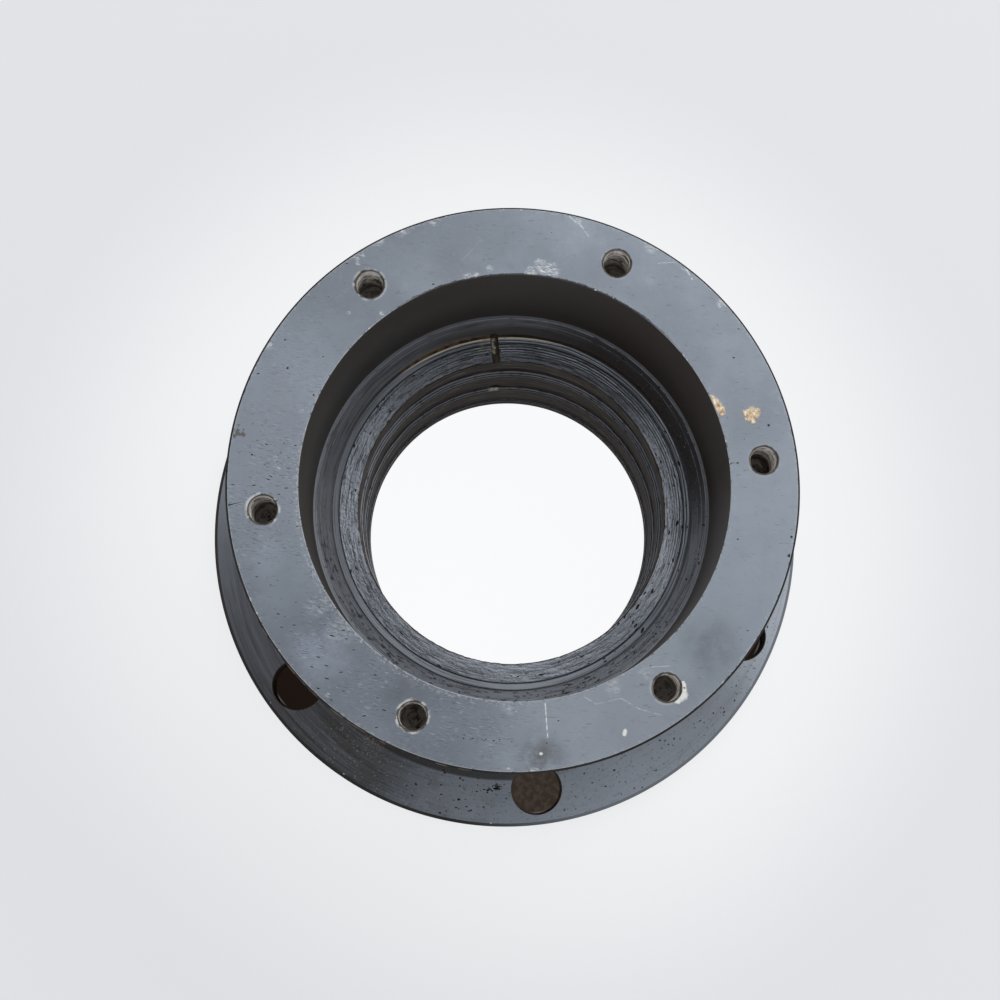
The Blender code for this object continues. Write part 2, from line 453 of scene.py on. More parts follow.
def ridge_wave(place):
    """The tool's ridges on the ledge, which wander a little: 1 in a trough and -1 on a crest."""
    wander = (place.streaks(3.0, 260.0) - 0.5) * 0.0016
    inwards = place.radius * -1.0 + wander + LEDGE_RADIUS
    return (inwards * (2 * math.pi / RIDGE_PITCH)).math("SINE")


def ridged_part(place):
    """Where the ridges stand out: the upper right side, away from the torn inner edge."""
    return place.side(38, 0.15, 0.7) * place.radius.step(*RIDGED_BAND)


def worn(graph, geometry):
    """Move the points of the turned body: ledge ridges, tool marks and a chipped inner edge."""
    place = Round(graph, graph.node("GeometryNodeInputPosition"))
    r, z = place.radius, place.z
    on_ledge = (abs(z - LEDGE_Z) < ON_FACE) * r.step(BORE_RADIUS - 0.001, BORE_RADIUS)
    on_lower = (abs(z - LOWER_FLANGE_THICKNESS) < ON_FACE) * r.step(*MARKED_BAND) \
        * r.step(LOWER_RADIUS - 0.002, LOWER_RADIUS - 0.003)

    broken = place.streaks(9.0, 500.0).step(0.35, 0.6)
    ridges = (ridge_wave(place) * 0.5 + 0.5) * broken * ridged_part(place) \
        * r.step(LEDGE_RADIUS, LEDGE_RADIUS - 0.0015)
    rough_side = r.step(LEDGE_LINE_RADIUS + 0.001, LEDGE_LINE_RADIUS - 0.001)
    rough = place.streaks(34.0, 620.0, detail=3.0).step(0.42, 0.72) * rough_side
    ledge_drop = on_ledge * (ridges * RIDGE_DEPTH + rough * LEDGE_ROUGHNESS)

    lines = (r * (2 * math.pi / TOOL_MARK_PITCH)).math("SINE") * 0.5 + 0.5
    uneven = place.streaks(6.0, 300.0, detail=3.0)
    marked = place.side(200, 0.1, 0.8) * 0.8 + 0.2
    lower_drop = on_lower * marked * (lines * 0.6 + uneven) * TOOL_MARK_DEPTH

    out, down = r - BORE_RADIUS, LEDGE_Z - z
    away = (out * out + down * down).math("SQRT")
    chips = place.streaks(26.0, 0.0, detail=3.0, roughness=0.7).step(0.46, 0.72)
    chip = chips * away.step(CHIP_REACH, 0.0) * CHIP_DEPTH
    drop = ledge_drop + lower_drop + chip
    return graph.node("GeometryNodeSetPosition", None, {
        "Geometry": geometry,
        "Offset": graph.vector(place.cos * chip, place.sin * chip, drop * -1.0)})


# %% Turn the body
TURN_STEPS = 336
WELD = 0.00001


def turning_tree():
    """Sweep the section round a circle, weld it, wear it and give each stretch its finish."""
    graph, given = geometry_tree("turn_section", {
        "Steps": TURN_STEPS, "Guide Radius": GUIDE_RADIUS, "Weld": WELD})
    guide = graph.node("GeometryNodeCurvePrimitiveCircle", None, {
        "Resolution": given["Steps"], "Radius": given["Guide Radius"]})
    section = graph.node("GeometryNodeMeshToCurve", None, {"Mesh": given["Geometry"]})
    swept = graph.node("GeometryNodeCurveToMesh", None, {"Curve": guide, "Profile Curve": section})

    def stored(name):
        return graph.node("GeometryNodeInputNamedAttribute", {"data_type": "INT"}, {"Name": name})

    marked = graph.node("GeometryNodeStoreNamedAttribute", {"data_type": "INT", "domain": "FACE"}, {
        "Geometry": swept, "Name": "face_finish", "Value": stored("finish")})
    welded = graph.node("GeometryNodeMergeByDistance", None, {
        "Geometry": marked, "Distance": given["Weld"]})
    finish = stored("face_finish")
    chosen = [(name, abs(finish - i) < 0.5) for i, name in enumerate(FINISHES)]
    return close_tree(graph, worn(graph, welded), chosen)


def make_faces_point_out(mesh):
    """Recalculate the normals of a closed mesh, and return its volume in litres."""
    with edited(mesh) as shape:
        bmesh.ops.recalc_face_normals(shape, faces=shape.faces)
        if shape.calc_volume(signed=True) < 0:
            bmesh.ops.reverse_faces(shape, faces=shape.faces)
        return shape.calc_volume(signed=True) * 1000


body = run_tree(section_mesh("flange_worn"), turning_tree(), {
    "Steps": TURN_STEPS, "Guide Radius": GUIDE_RADIUS})
litres = make_faces_point_out(body.data)
print("turned body:", len(body.data.polygons), "faces,", round(litres, 3), "litres")

# %% [markdown]
# # Holes with threads
#
# Each hole is cut by a plug. A plug is a cylinder whose radius is a formula of depth and angle: a
# countersunk mouth, a thread that climbs one pitch a turn, and the cone that a drill leaves. The
# thread runs out above the floor, as a tap leaves it. One plug is instanced round the pitch
# circle, so the six holes are one cutter. The through holes below use the same idea with no thread.

# %% A threaded plug on a pitch circle
HOLE_COUNT = 6
TAPPED_PITCH_RADIUS = 0.1314
THROUGH_PITCH_RADIUS = 0.1619
TAPPED_DEPTH = 0.028
TAPPED_RADIUS = 0.007
THREAD_PITCH = 0.002
CUT_MARGIN = 0.002
THREAD_DEPTH = 0.001
THREAD_FLAT = 0.12
THREAD_RUN_OUT = (0.004, 0.007)
MOUTH_CHAMFER = 0.0003
POINT_SLOPE = math.tan(math.radians(59))
POINT_TIP = 0.0002
THROUGH_RADIUS = 0.0155
THROUGH_CHAMFER = 0.0005
RING_INPUTS = {"Pitch Circle": 0.1, "First Angle": 0.0, "Height": 0.0}


def ring_of(graph, given, plug):
    """Copies of a plug round the axis."""
    ring = graph.node("GeometryNodeMeshCircle", None, {
        "Vertices": HOLE_COUNT, "Radius": given["Pitch Circle"]})
    turned = graph.node("GeometryNodeTransform", None, {
        "Geometry": ring, "Rotation": graph.vector(0.0, 0.0, given["First Angle"]),
        "Translation": graph.vector(0.0, 0.0, given["Height"])})
    return graph.node("GeometryNodeInstanceOnPoints", None, {"Points": turned, "Instance": plug})


def shaped_plug(graph, vertices, rows, length, profile):
    """A cylinder along Z whose points get the depth and the radius that profile says."""
    stick = graph.node("GeometryNodeMeshCylinder", None, {
        "Vertices": vertices, "Side Segments": rows, "Radius": 1.0, "Depth": length})
    place = Round(graph, graph.node("GeometryNodeInputPosition"))
    depth, radius = profile(place)
    return graph.node("GeometryNodeSetPosition", None, {
        "Geometry": stick,
        "Position": graph.vector(place.cos * radius, place.sin * radius, depth * -1.0)})


def threaded_tree():
    """A tapped hole: mouth, thread, plain run-out and drill point."""
    graph, given = geometry_tree("threaded_plugs", {
        "Minor Radius": TAPPED_RADIUS, "Thread Depth": THREAD_DEPTH, "Mouth": MOUTH_CHAMFER,
        "Pitch": THREAD_PITCH, "Depth": TAPPED_DEPTH, **RING_INPUTS})
    minor, thread, bottom = (given[n] for n in ("Minor Radius", "Thread Depth", "Depth"))
    length = TAPPED_DEPTH + TAPPED_RADIUS / POINT_SLOPE + CUT_MARGIN

    def profile(place):
        depth = length / 2 - CUT_MARGIN - place.z
        turn = place.y.math("ARCTAN2", place.x) / (2 * math.pi)
        wave = abs((depth / given["Pitch"] + turn).math("FRACT") - 0.5) * 2.0
        cut = ((wave - THREAD_FLAT) / (1.0 - 2 * THREAD_FLAT)).at_least(0.0).at_most(1.0)
        run_out = (bottom - depth).step(*THREAD_RUN_OUT)
        threaded = minor + thread * cut * run_out
        mouth = minor + thread + given["Mouth"] - depth
        point = (bottom + minor / POINT_SLOPE - depth) * POINT_SLOPE
        return depth, threaded.at_least(mouth).at_most(point.at_least(POINT_TIP))

    plug = shaped_plug(graph, 28, 84, length, profile)
    return close_tree(graph, ring_of(graph, given, plug), (("thread", True),))


def plain_tree():
    """A drilled hole with a small chamfer at each end: six rows of points, set by their number."""
    graph, given = geometry_tree("plain_plugs", {
        "Radius": THROUGH_RADIUS, "Chamfer": THROUGH_CHAMFER, "Depth": LOWER_FLANGE_THICKNESS,
        **RING_INPUTS})
    chamfer, length = given["Chamfer"], given["Depth"]
    rows = 5

    def profile(place):
        row = place.z * -1.0 + rows / 2
        past = [(row * -1.0) < (0.5 - number) for number in range(1, rows + 1)]
        depth = (past[0] + past[4]) * CUT_MARGIN + (past[1] + past[3]) * chamfer \
            + past[2] * (length - chamfer * 2.0) - CUT_MARGIN
        return depth, given["Radius"] + chamfer * (1.0 - past[1] + past[3])

    plug = shaped_plug(graph, 56, rows, rows, profile)
    return close_tree(graph, ring_of(graph, given, plug), (("drilled_wall", True),))


tapped = run_tree(bpy.data.meshes.new("tapped_plugs"), threaded_tree(), {
    "Pitch Circle": TAPPED_PITCH_RADIUS, "Height": HEIGHT})
through = run_tree(bpy.data.meshes.new("through_plugs"), plain_tree(), {
    "Pitch Circle": THROUGH_PITCH_RADIUS, "First Angle": math.pi / HOLE_COUNT,
    "Height": LOWER_FLANGE_THICKNESS})
print("thread plugs:", len(tapped.data.polygons), "faces; plain plugs:", len(through.data.polygons))

# %% [markdown]
# # The lubrication notch and hole
#
# A round notch is milled across the ledge on the +Y side, and below it a hole runs through the wall
# into the second groove. Both are plain round cuts along Y.

# %% Two round cuts along Y
NOTCH_RADIUS = 0.0023
NOTCH_REACH = 0.0021
LUBE_RADIUS = 0.003
LUBE_LIFT = 0.0012
LUBE_Z = LEDGE_Z - sum(land + width for land, width, _ in GROOVES[:2]) + LUBE_LIFT + LUBE_RADIUS


def cut_along_y(name, radius, start, end, z):
    """A round cutter along Y at a height."""
    mesh = bpy.data.meshes.new(name)
    mesh.materials.append(materials["drilled_wall"])
    with edited(mesh) as shape:
        bmesh.ops.create_cone(
            shape, cap_ends=True, segments=24, radius1=radius, radius2=radius, depth=end - start)
        turn = Matrix.Rotation(math.pi / 2, 4, "X")
        shape.transform(Matrix.Translation((0.0, (start + end) / 2, z)) @ turn)
    return put_in_scene(name, mesh)


notch = cut_along_y(
    "notch_cut", NOTCH_RADIUS, BORE_RADIUS - CUT_MARGIN, LEDGE_RADIUS + NOTCH_REACH, LEDGE_Z)
lube = cut_along_y("lube_cut", LUBE_RADIUS, BORE_RADIUS, NECK_RADIUS + CUT_MARGIN, LUBE_Z)
print("lubrication hole at height", round(LUBE_Z, 4))

# %% [markdown]
# # Pits and nicks
#
# Cast iron shows small pits where it was cut open, and every edge that has knocked against another
# part has nicks. Both are scattered with a seed: points in a ring sector get small flattened
# spheres, which are then cut out of the body. A nick shows bare metal and a pit holds dark oil.

# %% Scatter small hollows in a ring sector
def scatter_tree(finish):
    """Flattened balls in a ring sector, most of them small, each turned and stretched."""
    graph, given = geometry_tree("scatter_" + finish, {
        "Count": 10, "Seed": 0, "Inner": 0.1, "Outer": 0.12, "From": 0.0, "To": 6.28,
        "Height": 0.0, "Small": 0.0003, "Large": 0.0006, "Stretch": 1.0, "Follow": 1.0,
        "Turn": 0.0})

    def drawn(low, high, offset):
        return graph.node("FunctionNodeRandomValue", {"data_type": "FLOAT"}, {
            "Min": low, "Max": high, "Seed": given["Seed"] + offset})

    inner, outer = given["Inner"], given["Outer"]
    radius = drawn(inner * inner, outer * outer, 1).math("SQRT")
    angle = drawn(given["From"], given["To"], 2)
    points = graph.node("GeometryNodePoints", None, {
        "Count": given["Count"],
        "Position": graph.vector(
            radius * angle.math("COSINE"), radius * angle.math("SINE"), given["Height"])})
    size = drawn(0.0, 1.0, 3) ** 2.5 * (given["Large"] - given["Small"]) + given["Small"]
    ball = graph.node("GeometryNodeMeshUVSphere", None, {"Segments": 7, "Rings": 5, "Radius": 1.0})
    placed = graph.node("GeometryNodeInstanceOnPoints", None, {
        "Points": points, "Instance": ball,
        "Rotation": graph.vector(
            0.0, 0.0, angle * given["Follow"] + given["Turn"] + drawn(-0.35, 0.35, 4)),
        "Scale": graph.vector(size * given["Stretch"], size, size * drawn(0.5, 0.9, 5))})
    return close_tree(graph, placed, ((finish, True),))


trees = {finish: scatter_tree(finish) for finish in ("pit", "nick")}


def scatter(name, finish, count, seed, ring, sector, z, sizes, stretch, lean=None):
    """Hollows in a ring sector: radii in metres, angles in degrees, sizes are their half widths.

    They lie along the circle, or all at one angle where lean gives it."""
    follow, turn = (1.0, math.pi / 2) if lean is None else (0.0, math.radians(lean))
    start, end = (math.radians(a) for a in sector)
    return run_tree(bpy.data.meshes.new(name), trees[finish], {
        "Count": count, "Seed": seed, "Inner": ring[0], "Outer": ring[1], "From": start, "To": end,
        "Height": z, "Small": sizes[0], "Large": sizes[1], "Stretch": stretch,
        "Follow": follow, "Turn": turn})


ALL_ROUND = (0.0, 360.0)
LOWER_Z = LOWER_FLANGE_THICKNESS
LEFT_FACE = ((0.115, 0.148), (163, 236), HEIGHT)
REST_OF_FACE = ((0.115, 0.148), (-90, 160), HEIGHT)
HOLLOWS = (
    ("flecks_left", "pit", 90, 11, *LEFT_FACE, (0.00012, 0.00034), 3.8, -14),
    ("flecks_rest", "pit", 34, 12, *REST_OF_FACE, (0.00015, 0.0004), 2.2, -10),
    ("pit_row", "pit", 16, 13, (0.1325, 0.1345), (249, 263), HEIGHT, (0.00015, 0.0003), 2.4, -6),
    ("pits_ledge", "pit", 90, 14, (0.089, 0.0988), ALL_ROUND, LEDGE_Z, (0.0002, 0.0006), 2.8),
    ("pits_right", "pit", 44, 24, (0.089, 0.102), (-100, 30), LEDGE_Z, (0.0003, 0.0009), 2.5),
    ("pits_lower", "pit", 160, 15, (0.152, 0.181), (236, 352), LOWER_Z, (0.0002, 0.0006), 1.7),
    ("scar", "pit", 5, 21, (0.1588, 0.1606), (260.4, 262.2), LOWER_Z, (0.0009, 0.0016), 1.3),
    ("scar_tail", "pit", 8, 22, (0.1608, 0.1636), (258.0, 260.4), LOWER_Z, (0.0003, 0.0007), 1.6),
    ("pits_foot", "pit", 14, 23, (0.153, 0.172), (242, 257), LOWER_Z, (0.0004, 0.0008), 1.4),
    ("rim_nicks", "nick", 70, 16, (0.1486, 0.1492), ALL_ROUND, HEIGHT, (0.0002, 0.0007), 2.4),
    ("mouth_nicks", "nick", 60, 17, (0.1126, 0.1131), ALL_ROUND, HEIGHT, (0.0002, 0.0007), 2.2),
    ("lower_nicks", "nick", 16, 18, (0.1817, 0.1825), ALL_ROUND, LOWER_Z, (0.0003, 0.0006), 1.8))
hollows = [scatter(*row) for row in HOLLOWS]
print("hollows:", sum(len(h.data.polygons) for h in hollows), "faces in", len(hollows), "groups")

# %% Cut everything out of the body
SHARP_ANGLE = math.radians(20)
STRAIGHT = 0.0001


def cut_out(target, cutters):
    """Take the cutters out of the target, and keep their materials on the new faces."""
    group = bpy.data.collections.new("cuts")
    for cutter in cutters:
        group.objects.link(cutter)
    cut = target.modifiers.new("cut", "BOOLEAN")
    cut.operation = "DIFFERENCE"
    cut.solver = "MANIFOLD"
    cut.material_mode = "TRANSFER"
    cut.operand_type = "COLLECTION"
    cut.collection = group
    as_mesh(target)
    for cutter in cutters:
        bpy.data.objects.remove(cutter)
    bpy.data.collections.remove(group)


def bend(vert):
    """How far a point between two edges is from the straight line that joins their far ends."""
    near, far = [edge.other_vert(vert).co for edge in vert.link_edges]
    run = far - near
    return (vert.co - near).cross(run).length / max(run.length, 1e-9)


def joined_pieces(shape):
    """The faces of each connected piece, the smallest piece first."""
    seen, pieces = set(), []
    for start in shape.faces:
        if start in seen:
            continue
        seen.add(start)
        piece, waiting = [], [start]
        while waiting:
            face = waiting.pop()
            piece.append(face)
            joined = {other for edge in face.edges for other in edge.link_faces} - seen
            seen |= joined
            waiting += joined
        pieces.append(piece)
    return sorted(pieces, key=len)


def clean_up(mesh):
    """Take out hollows that are cut off from the body, and points on a straight edge.

    It returns how many hollows there were, and how many edges don't join exactly two faces."""
    with edited(mesh) as shape:
        pieces = joined_pieces(shape)
        loose = [face for piece in pieces[:-1] for face in piece]
        bmesh.ops.delete(shape, geom=loose, context="FACES")
        idle = [v for v in shape.verts if len(v.link_edges) == 2 and bend(v) < STRAIGHT]
        bmesh.ops.dissolve_verts(shape, verts=idle)
        return len(pieces) - 1, sum(1 for edge in shape.edges if not edge.is_manifold)


def drop_empty_slots(mesh):
    """Take out the slots that hold no material, and keep every face's own one."""
    kept = [material for material in mesh.materials if material]
    number = [kept.index(material) if material else 0 for material in mesh.materials]
    used = [number[polygon.material_index] for polygon in mesh.polygons]
    mesh.materials.clear()
    for material in kept:
        mesh.materials.append(material)
    mesh.polygons.foreach_set("material_index", used)


cutters = [tapped, through, notch, lube, *hollows]
for cutter in cutters:
    make_faces_point_out(cutter.data)
clock = time.time()
cut_out(body, cutters)
loose_hollows, open_edges = clean_up(body.data)
drop_empty_slots(body.data)
body.data.shade_smooth()
body.data.set_sharp_from_angle(angle=SHARP_ANGLE)
body.data.calc_loop_triangles()
print("body:", len(body.data.loop_triangles), "triangles,", len(body.data.materials), "materials,",
      loose_hollows, "loose hollows out,", open_edges, "open edges,",
      round(time.time() - clock, 1), "s")

# %% Ride on the frame
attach(body, "root")
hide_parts("flange_body")

# %% [markdown]
# # Iron finishes
#
# Everything here is the same oily iron, and what differs from face to face is how it was cut, what
# has settled on it, and on some faces painted light and shade. So one class holds what they share:
# two tones mixed by clouds, a fine grain, a roughness and a height. Each finish then paints layers
# over that, such as streaks of the tool, smears of oil, scratches and bare metal, and in places
# painted highlights and painted shade. All patterns read Object coordinates, so they stay on the
# part when it turns.

# %% A surface that is painted layer by layer
GRAIN = 0.25


def blend(graph, factor, under, over):
    """A mix of two colours, or of one colour and a wire."""
    sockets = {"Factor": factor}
    for name, colour in (("A", under), ("B", over)):
        sockets[name] = colour if isinstance(colour, Wire) else (*colour, 1.0)
    return graph.node("ShaderNodeMix", {"data_type": "RGBA"}, sockets)


class Finish(Round):
    """The colour, roughness and height of one surface, with a mask for each layer on it."""

    def __init__(self, name, dark, light, roughness, metallic, clouds=16.0, shine=0.5):
        graph = Graph(materials[name].node_tree)
        super().__init__(graph, graph.node("ShaderNodeTexCoord", output="Object"))
        self.shader = graph.tree.nodes["Principled BSDF"]
        self.shader.inputs["Metallic"].default_value = metallic
        self.shader.inputs["Specular IOR Level"].default_value = shine
        self.noises = {}
        cloud = self.noise(clouds, detail=5.0, roughness=0.55).step(0.34, 0.68)
        fine = self.noise(420.0, detail=4.0, roughness=0.65)
        self.colour = blend(graph, cloud * (1.0 - GRAIN) + fine * GRAIN, dark, light)
        self.roughness = fine * 0.1 + (roughness - 0.05)
        self.height = fine * 0.02

    def noise(self, scale, shift=0.0, **more):
        """Noise in cells per metre. Two layers that ask for the same noise share one node."""
        key = (scale, shift, *sorted(more.items()))
        if key not in self.noises:
            moved = self.graph.node(
                VECTOR, {"operation": "ADD"}, {0: self.point, 1: (shift, shift, 0.0)})
            self.noises[key] = self.graph.noise(moved, scale, **more)
        return self.noises[key]

    def dashes(self, degrees, along, across, shift=0.0, **more):
        """Noise drawn out along one straight direction."""
        x, y = polar(1.0, degrees)
        u, v = self.x * x + self.y * y, self.y * x - self.x * y
        return self.graph.noise(
            self.graph.vector(u * along, v * across, self.z * along + shift), **more)

    def far_from(self, radius, degrees, height):
        """The distance to a place on the part."""
        return self.graph.node(VECTOR, {"operation": "DISTANCE"}, {
            0: self.point, 1: (*polar(radius, degrees), height)})

    def spot(self, radius, degrees, size, uneven=1.0, height=HEIGHT):
        """A patch with a ragged outline, at a radius, an angle and a height of the part."""
        cells = 2.0 ** round(math.log2(1.2 / size))
        ragged = (self.noise(cells, detail=4.0) - 0.5) * (2.0 * uneven * size)
        return (self.far_from(radius, degrees, height) + ragged).step(size, size * 0.45)

    def spots(self, places, uneven=1.0, height=HEIGHT):
        """Several patches as one mask, each given as its radius, angle and size."""
        mask = self.spot(*places[0], uneven, height)
        for place in places[1:]:
            mask = mask.at_least(self.spot(*place, uneven, height))
        return mask

    def smear(self, radius, degrees, size, height=HEIGHT):
        """A patch that fades out softly, broken up by clouds."""
        clouds = self.noise(90.0, shift=4.0, detail=4.0, roughness=0.6).step(0.28, 0.62)
        return self.far_from(radius, degrees, height).step(size * 1.25, size * 0.1) * clouds

    def scratch(self, start, end, width, broken=0.45):
        """A line between two places, each a radius and an angle, with gaps in it."""
        (x1, y1), (x2, y2) = polar(*start), polar(*end)
        bx, by = x2 - x1, y2 - y1
        px, py = self.x - x1, self.y - y1
        along = ((px * bx + py * by) / (bx * bx + by * by)).at_least(0.0).at_most(1.0)
        qx, qy = px - along * bx, py - along * by
        line = (qx * qx + qy * qy).math("SQRT").step(width, width * 0.3)
        return line * self.noise(500.0, detail=2.0).step(broken - 0.1, broken + 0.1)

    def hole(self, pitch_radius):
        """From the nearest hole of a circle: the distance to its axis, the way out, its number."""
        share = 2 * math.pi / HOLE_COUNT
        number = (self.y.math("ARCTAN2", self.x) / share).math("ROUND")
        dx = self.x - (number * share).math("COSINE") * pitch_radius
        dy = self.y - (number * share).math("SINE") * pitch_radius
        far = (dx * dx + dy * dy).math("SQRT")
        return far, dx / far, dy / far, number

    def paint(self, mask, colour, roughness=None, depth=0.0):
        """Lay a colour over the surface, with its roughness, and cut it in by a depth in mm."""
        self.colour = blend(self.graph, mask, self.colour, colour)
        if roughness is not None:
            self.roughness += mask * (roughness - self.roughness)
        if depth:
            self.height -= mask * depth

    def tint(self, *sides):
        """Colour whole sides, each given as its angle, where it fades in, amount and colour."""
        for degrees, start, end, amount, colour, roughness in sides:
            self.paint(self.side(degrees, start, end) * amount, colour, roughness)

    def close(self):
        """Feed the shader. The height is in millimetres, so the bump's distance is one."""
        bump = self.graph.node("ShaderNodeBump", None, {"Distance": 0.001, "Height": self.height})
        made = {"Base Color": self.colour, "Roughness": self.roughness, "Normal": bump}
        for name, wire in made.items():
            self.graph.tree.links.new(wire.socket, self.shader.inputs[name])


BARE = (0.46, 0.47, 0.48)
WHITE_SCUFF = (0.62, 0.63, 0.63)
OIL = (0.045, 0.04, 0.036)
SOOT = (0.012, 0.01, 0.009)
BURNT = (0.024, 0.021, 0.02)
CHALK_WHITE = (0.66, 0.66, 0.62)
TAN = (0.58, 0.45, 0.3)
CREAM = (0.62, 0.57, 0.45)
LEFT = 205
BURNT_SIDE = 78

# %% [markdown]
# ## The upper face
#
# The face was turned flat, and then scuffed and smeared with oil. Short dark dashes lie almost
# along one direction, most of them on the left, where something was dragged over the pores of the
# casting. Small white scuffs show where an edge has hit it. The larger marks are placed one by
# one, and the small ones come from drawn-out noise with a threshold. A row of a table is a radius,
# an angle and a size, then how strongly it shows and its colour where those differ. A scratch has
# two ends, each a radius and an angle, then its width and how strongly it shows.

# %% Upper face
SCUFFS = (
    (0.1142, 80.5, 0.0035, 0.9), (0.1165, 75.1, 0.005, 1.0), (0.1192, 78.0, 0.0036, 0.8),
    (0.1465, 71.0, 0.0022, 0.5), (0.1487, 46.6, 0.0022, 0.6), (0.1138, 97.1, 0.0024, 0.9),
    (0.1134, 94.7, 0.0022, 0.9), (0.1168, 91.1, 0.0018, 0.7), (0.148, 118.8, 0.0024, 0.8),
    (0.1468, 117.6, 0.0018, 0.7), (0.1446, 119.3, 0.0015, 0.6), (0.148, 144.6, 0.0024, 0.7),
    (0.148, 108.0, 0.0034, 0.6), (0.1485, 55.0, 0.004, 0.5), (0.1487, 262.4, 0.0026, 0.9),
    (0.1492, 267.3, 0.0024, 0.9), (0.1212, 206.0, 0.006, 0.3), (0.118, 214.0, 0.007, 0.35),
    (0.1165, 289.0, 0.0046, 0.35), (0.119, 298.0, 0.004, 0.35), (0.116, 262.0, 0.004, 0.4),
    (0.1487, 101.0, 0.0034, 0.8), (0.1489, 113.0, 0.003, 0.8), (0.1488, 36.0, 0.0036, 0.7),
    (0.1151, 122.0, 0.0014, 0.9), (0.1263, 128.2, 0.0012, 0.9), (0.1254, 168.1, 0.0013, 0.8),
    (0.123, 170.5, 0.0012, 0.8), (0.118, 155.2, 0.0012, 0.7), (0.1455, 222.5, 0.0013, 0.8))
CHALK = (
    (0.1401, 268.9, 0.0011), (0.1397, 287.3, 0.0013), (0.1405, 287.1, 0.0015),
    (0.1412, 286.9, 0.0013), (0.1346, 303.6, 0.0012), (0.1359, 303.4, 0.0015),
    (0.1375, 302.8, 0.002), (0.1396, 301.7, 0.0033), (0.14, 300.2, 0.0022))
SCRATCHES = (
    ((0.115, 271.1), (0.1322, 270.7), 0.00045, 0.9), ((0.1465, 71.0), (0.14, 68.1), 0.0005, 0.3),
    ((0.148, 73.0), (0.144, 70.0), 0.0006, 0.3), ((0.1487, 46.6), (0.1461, 44.0), 0.0006, 0.45),
    ((0.1151, 280.9), (0.1214, 283.5), 0.0004, 0.3),
    ((0.1214, 283.5), (0.1237, 289.6), 0.0004, 0.2),
    ((0.1237, 289.6), (0.1329, 292.2), 0.0004, 0.3),
    ((0.1329, 292.2), (0.1413, 295.6), 0.0004, 0.3), ((0.123, 238.0), (0.131, 236.0), 0.0004, 0.3),
    ((0.123, 98.0), (0.133, 92.0), 0.0003, 0.1), ((0.142, 52.0), (0.148, 49.0), 0.0004, 0.25),
    ((0.118, 300.0), (0.124, 304.0), 0.0004, 0.3))
DENTS = (
    (0.1375, 7.7, 0.0009), (0.1337, 147.0, 0.0008), (0.1424, 141.9, 0.0006),
    (0.1374, 167.8, 0.0007), (0.1154, 150.2, 0.0006), (0.1471, 343.3, 0.0009),
    (0.1479, 339.4, 0.0011))
SMEARS = (
    (0.133, 215, 0.02, 0.52, (0.27, 0.31, 0.38)), (0.136, 190, 0.012, 0.455, (0.26, 0.29, 0.35)),
    (0.132, 314, 0.016, 0.52, (0.09, 0.098, 0.115)),
    (0.142, 269, 0.014, 0.715, (0.07, 0.068, 0.066)),
    (0.126, 236, 0.014, 0.455, (0.08, 0.086, 0.1)), (0.14, 70, 0.016, 0.39, (0.24, 0.28, 0.32)))
FLAKES = (
    (0.1133, 18.3, 0.0025), (0.1138, 17.2, 0.0031), (0.1145, 16.0, 0.0033), (0.1151, 14.9, 0.003),
    (0.1157, 13.9, 0.0022), (0.1281, 11.8, 0.0026), (0.1295, 10.6, 0.0031), (0.1312, 11.9, 0.003),
    (0.1325, 10.9, 0.0028), (0.1338, 11.4, 0.0023), (0.13, 9.4, 0.0018), (0.1266, 10.6, 0.0012))


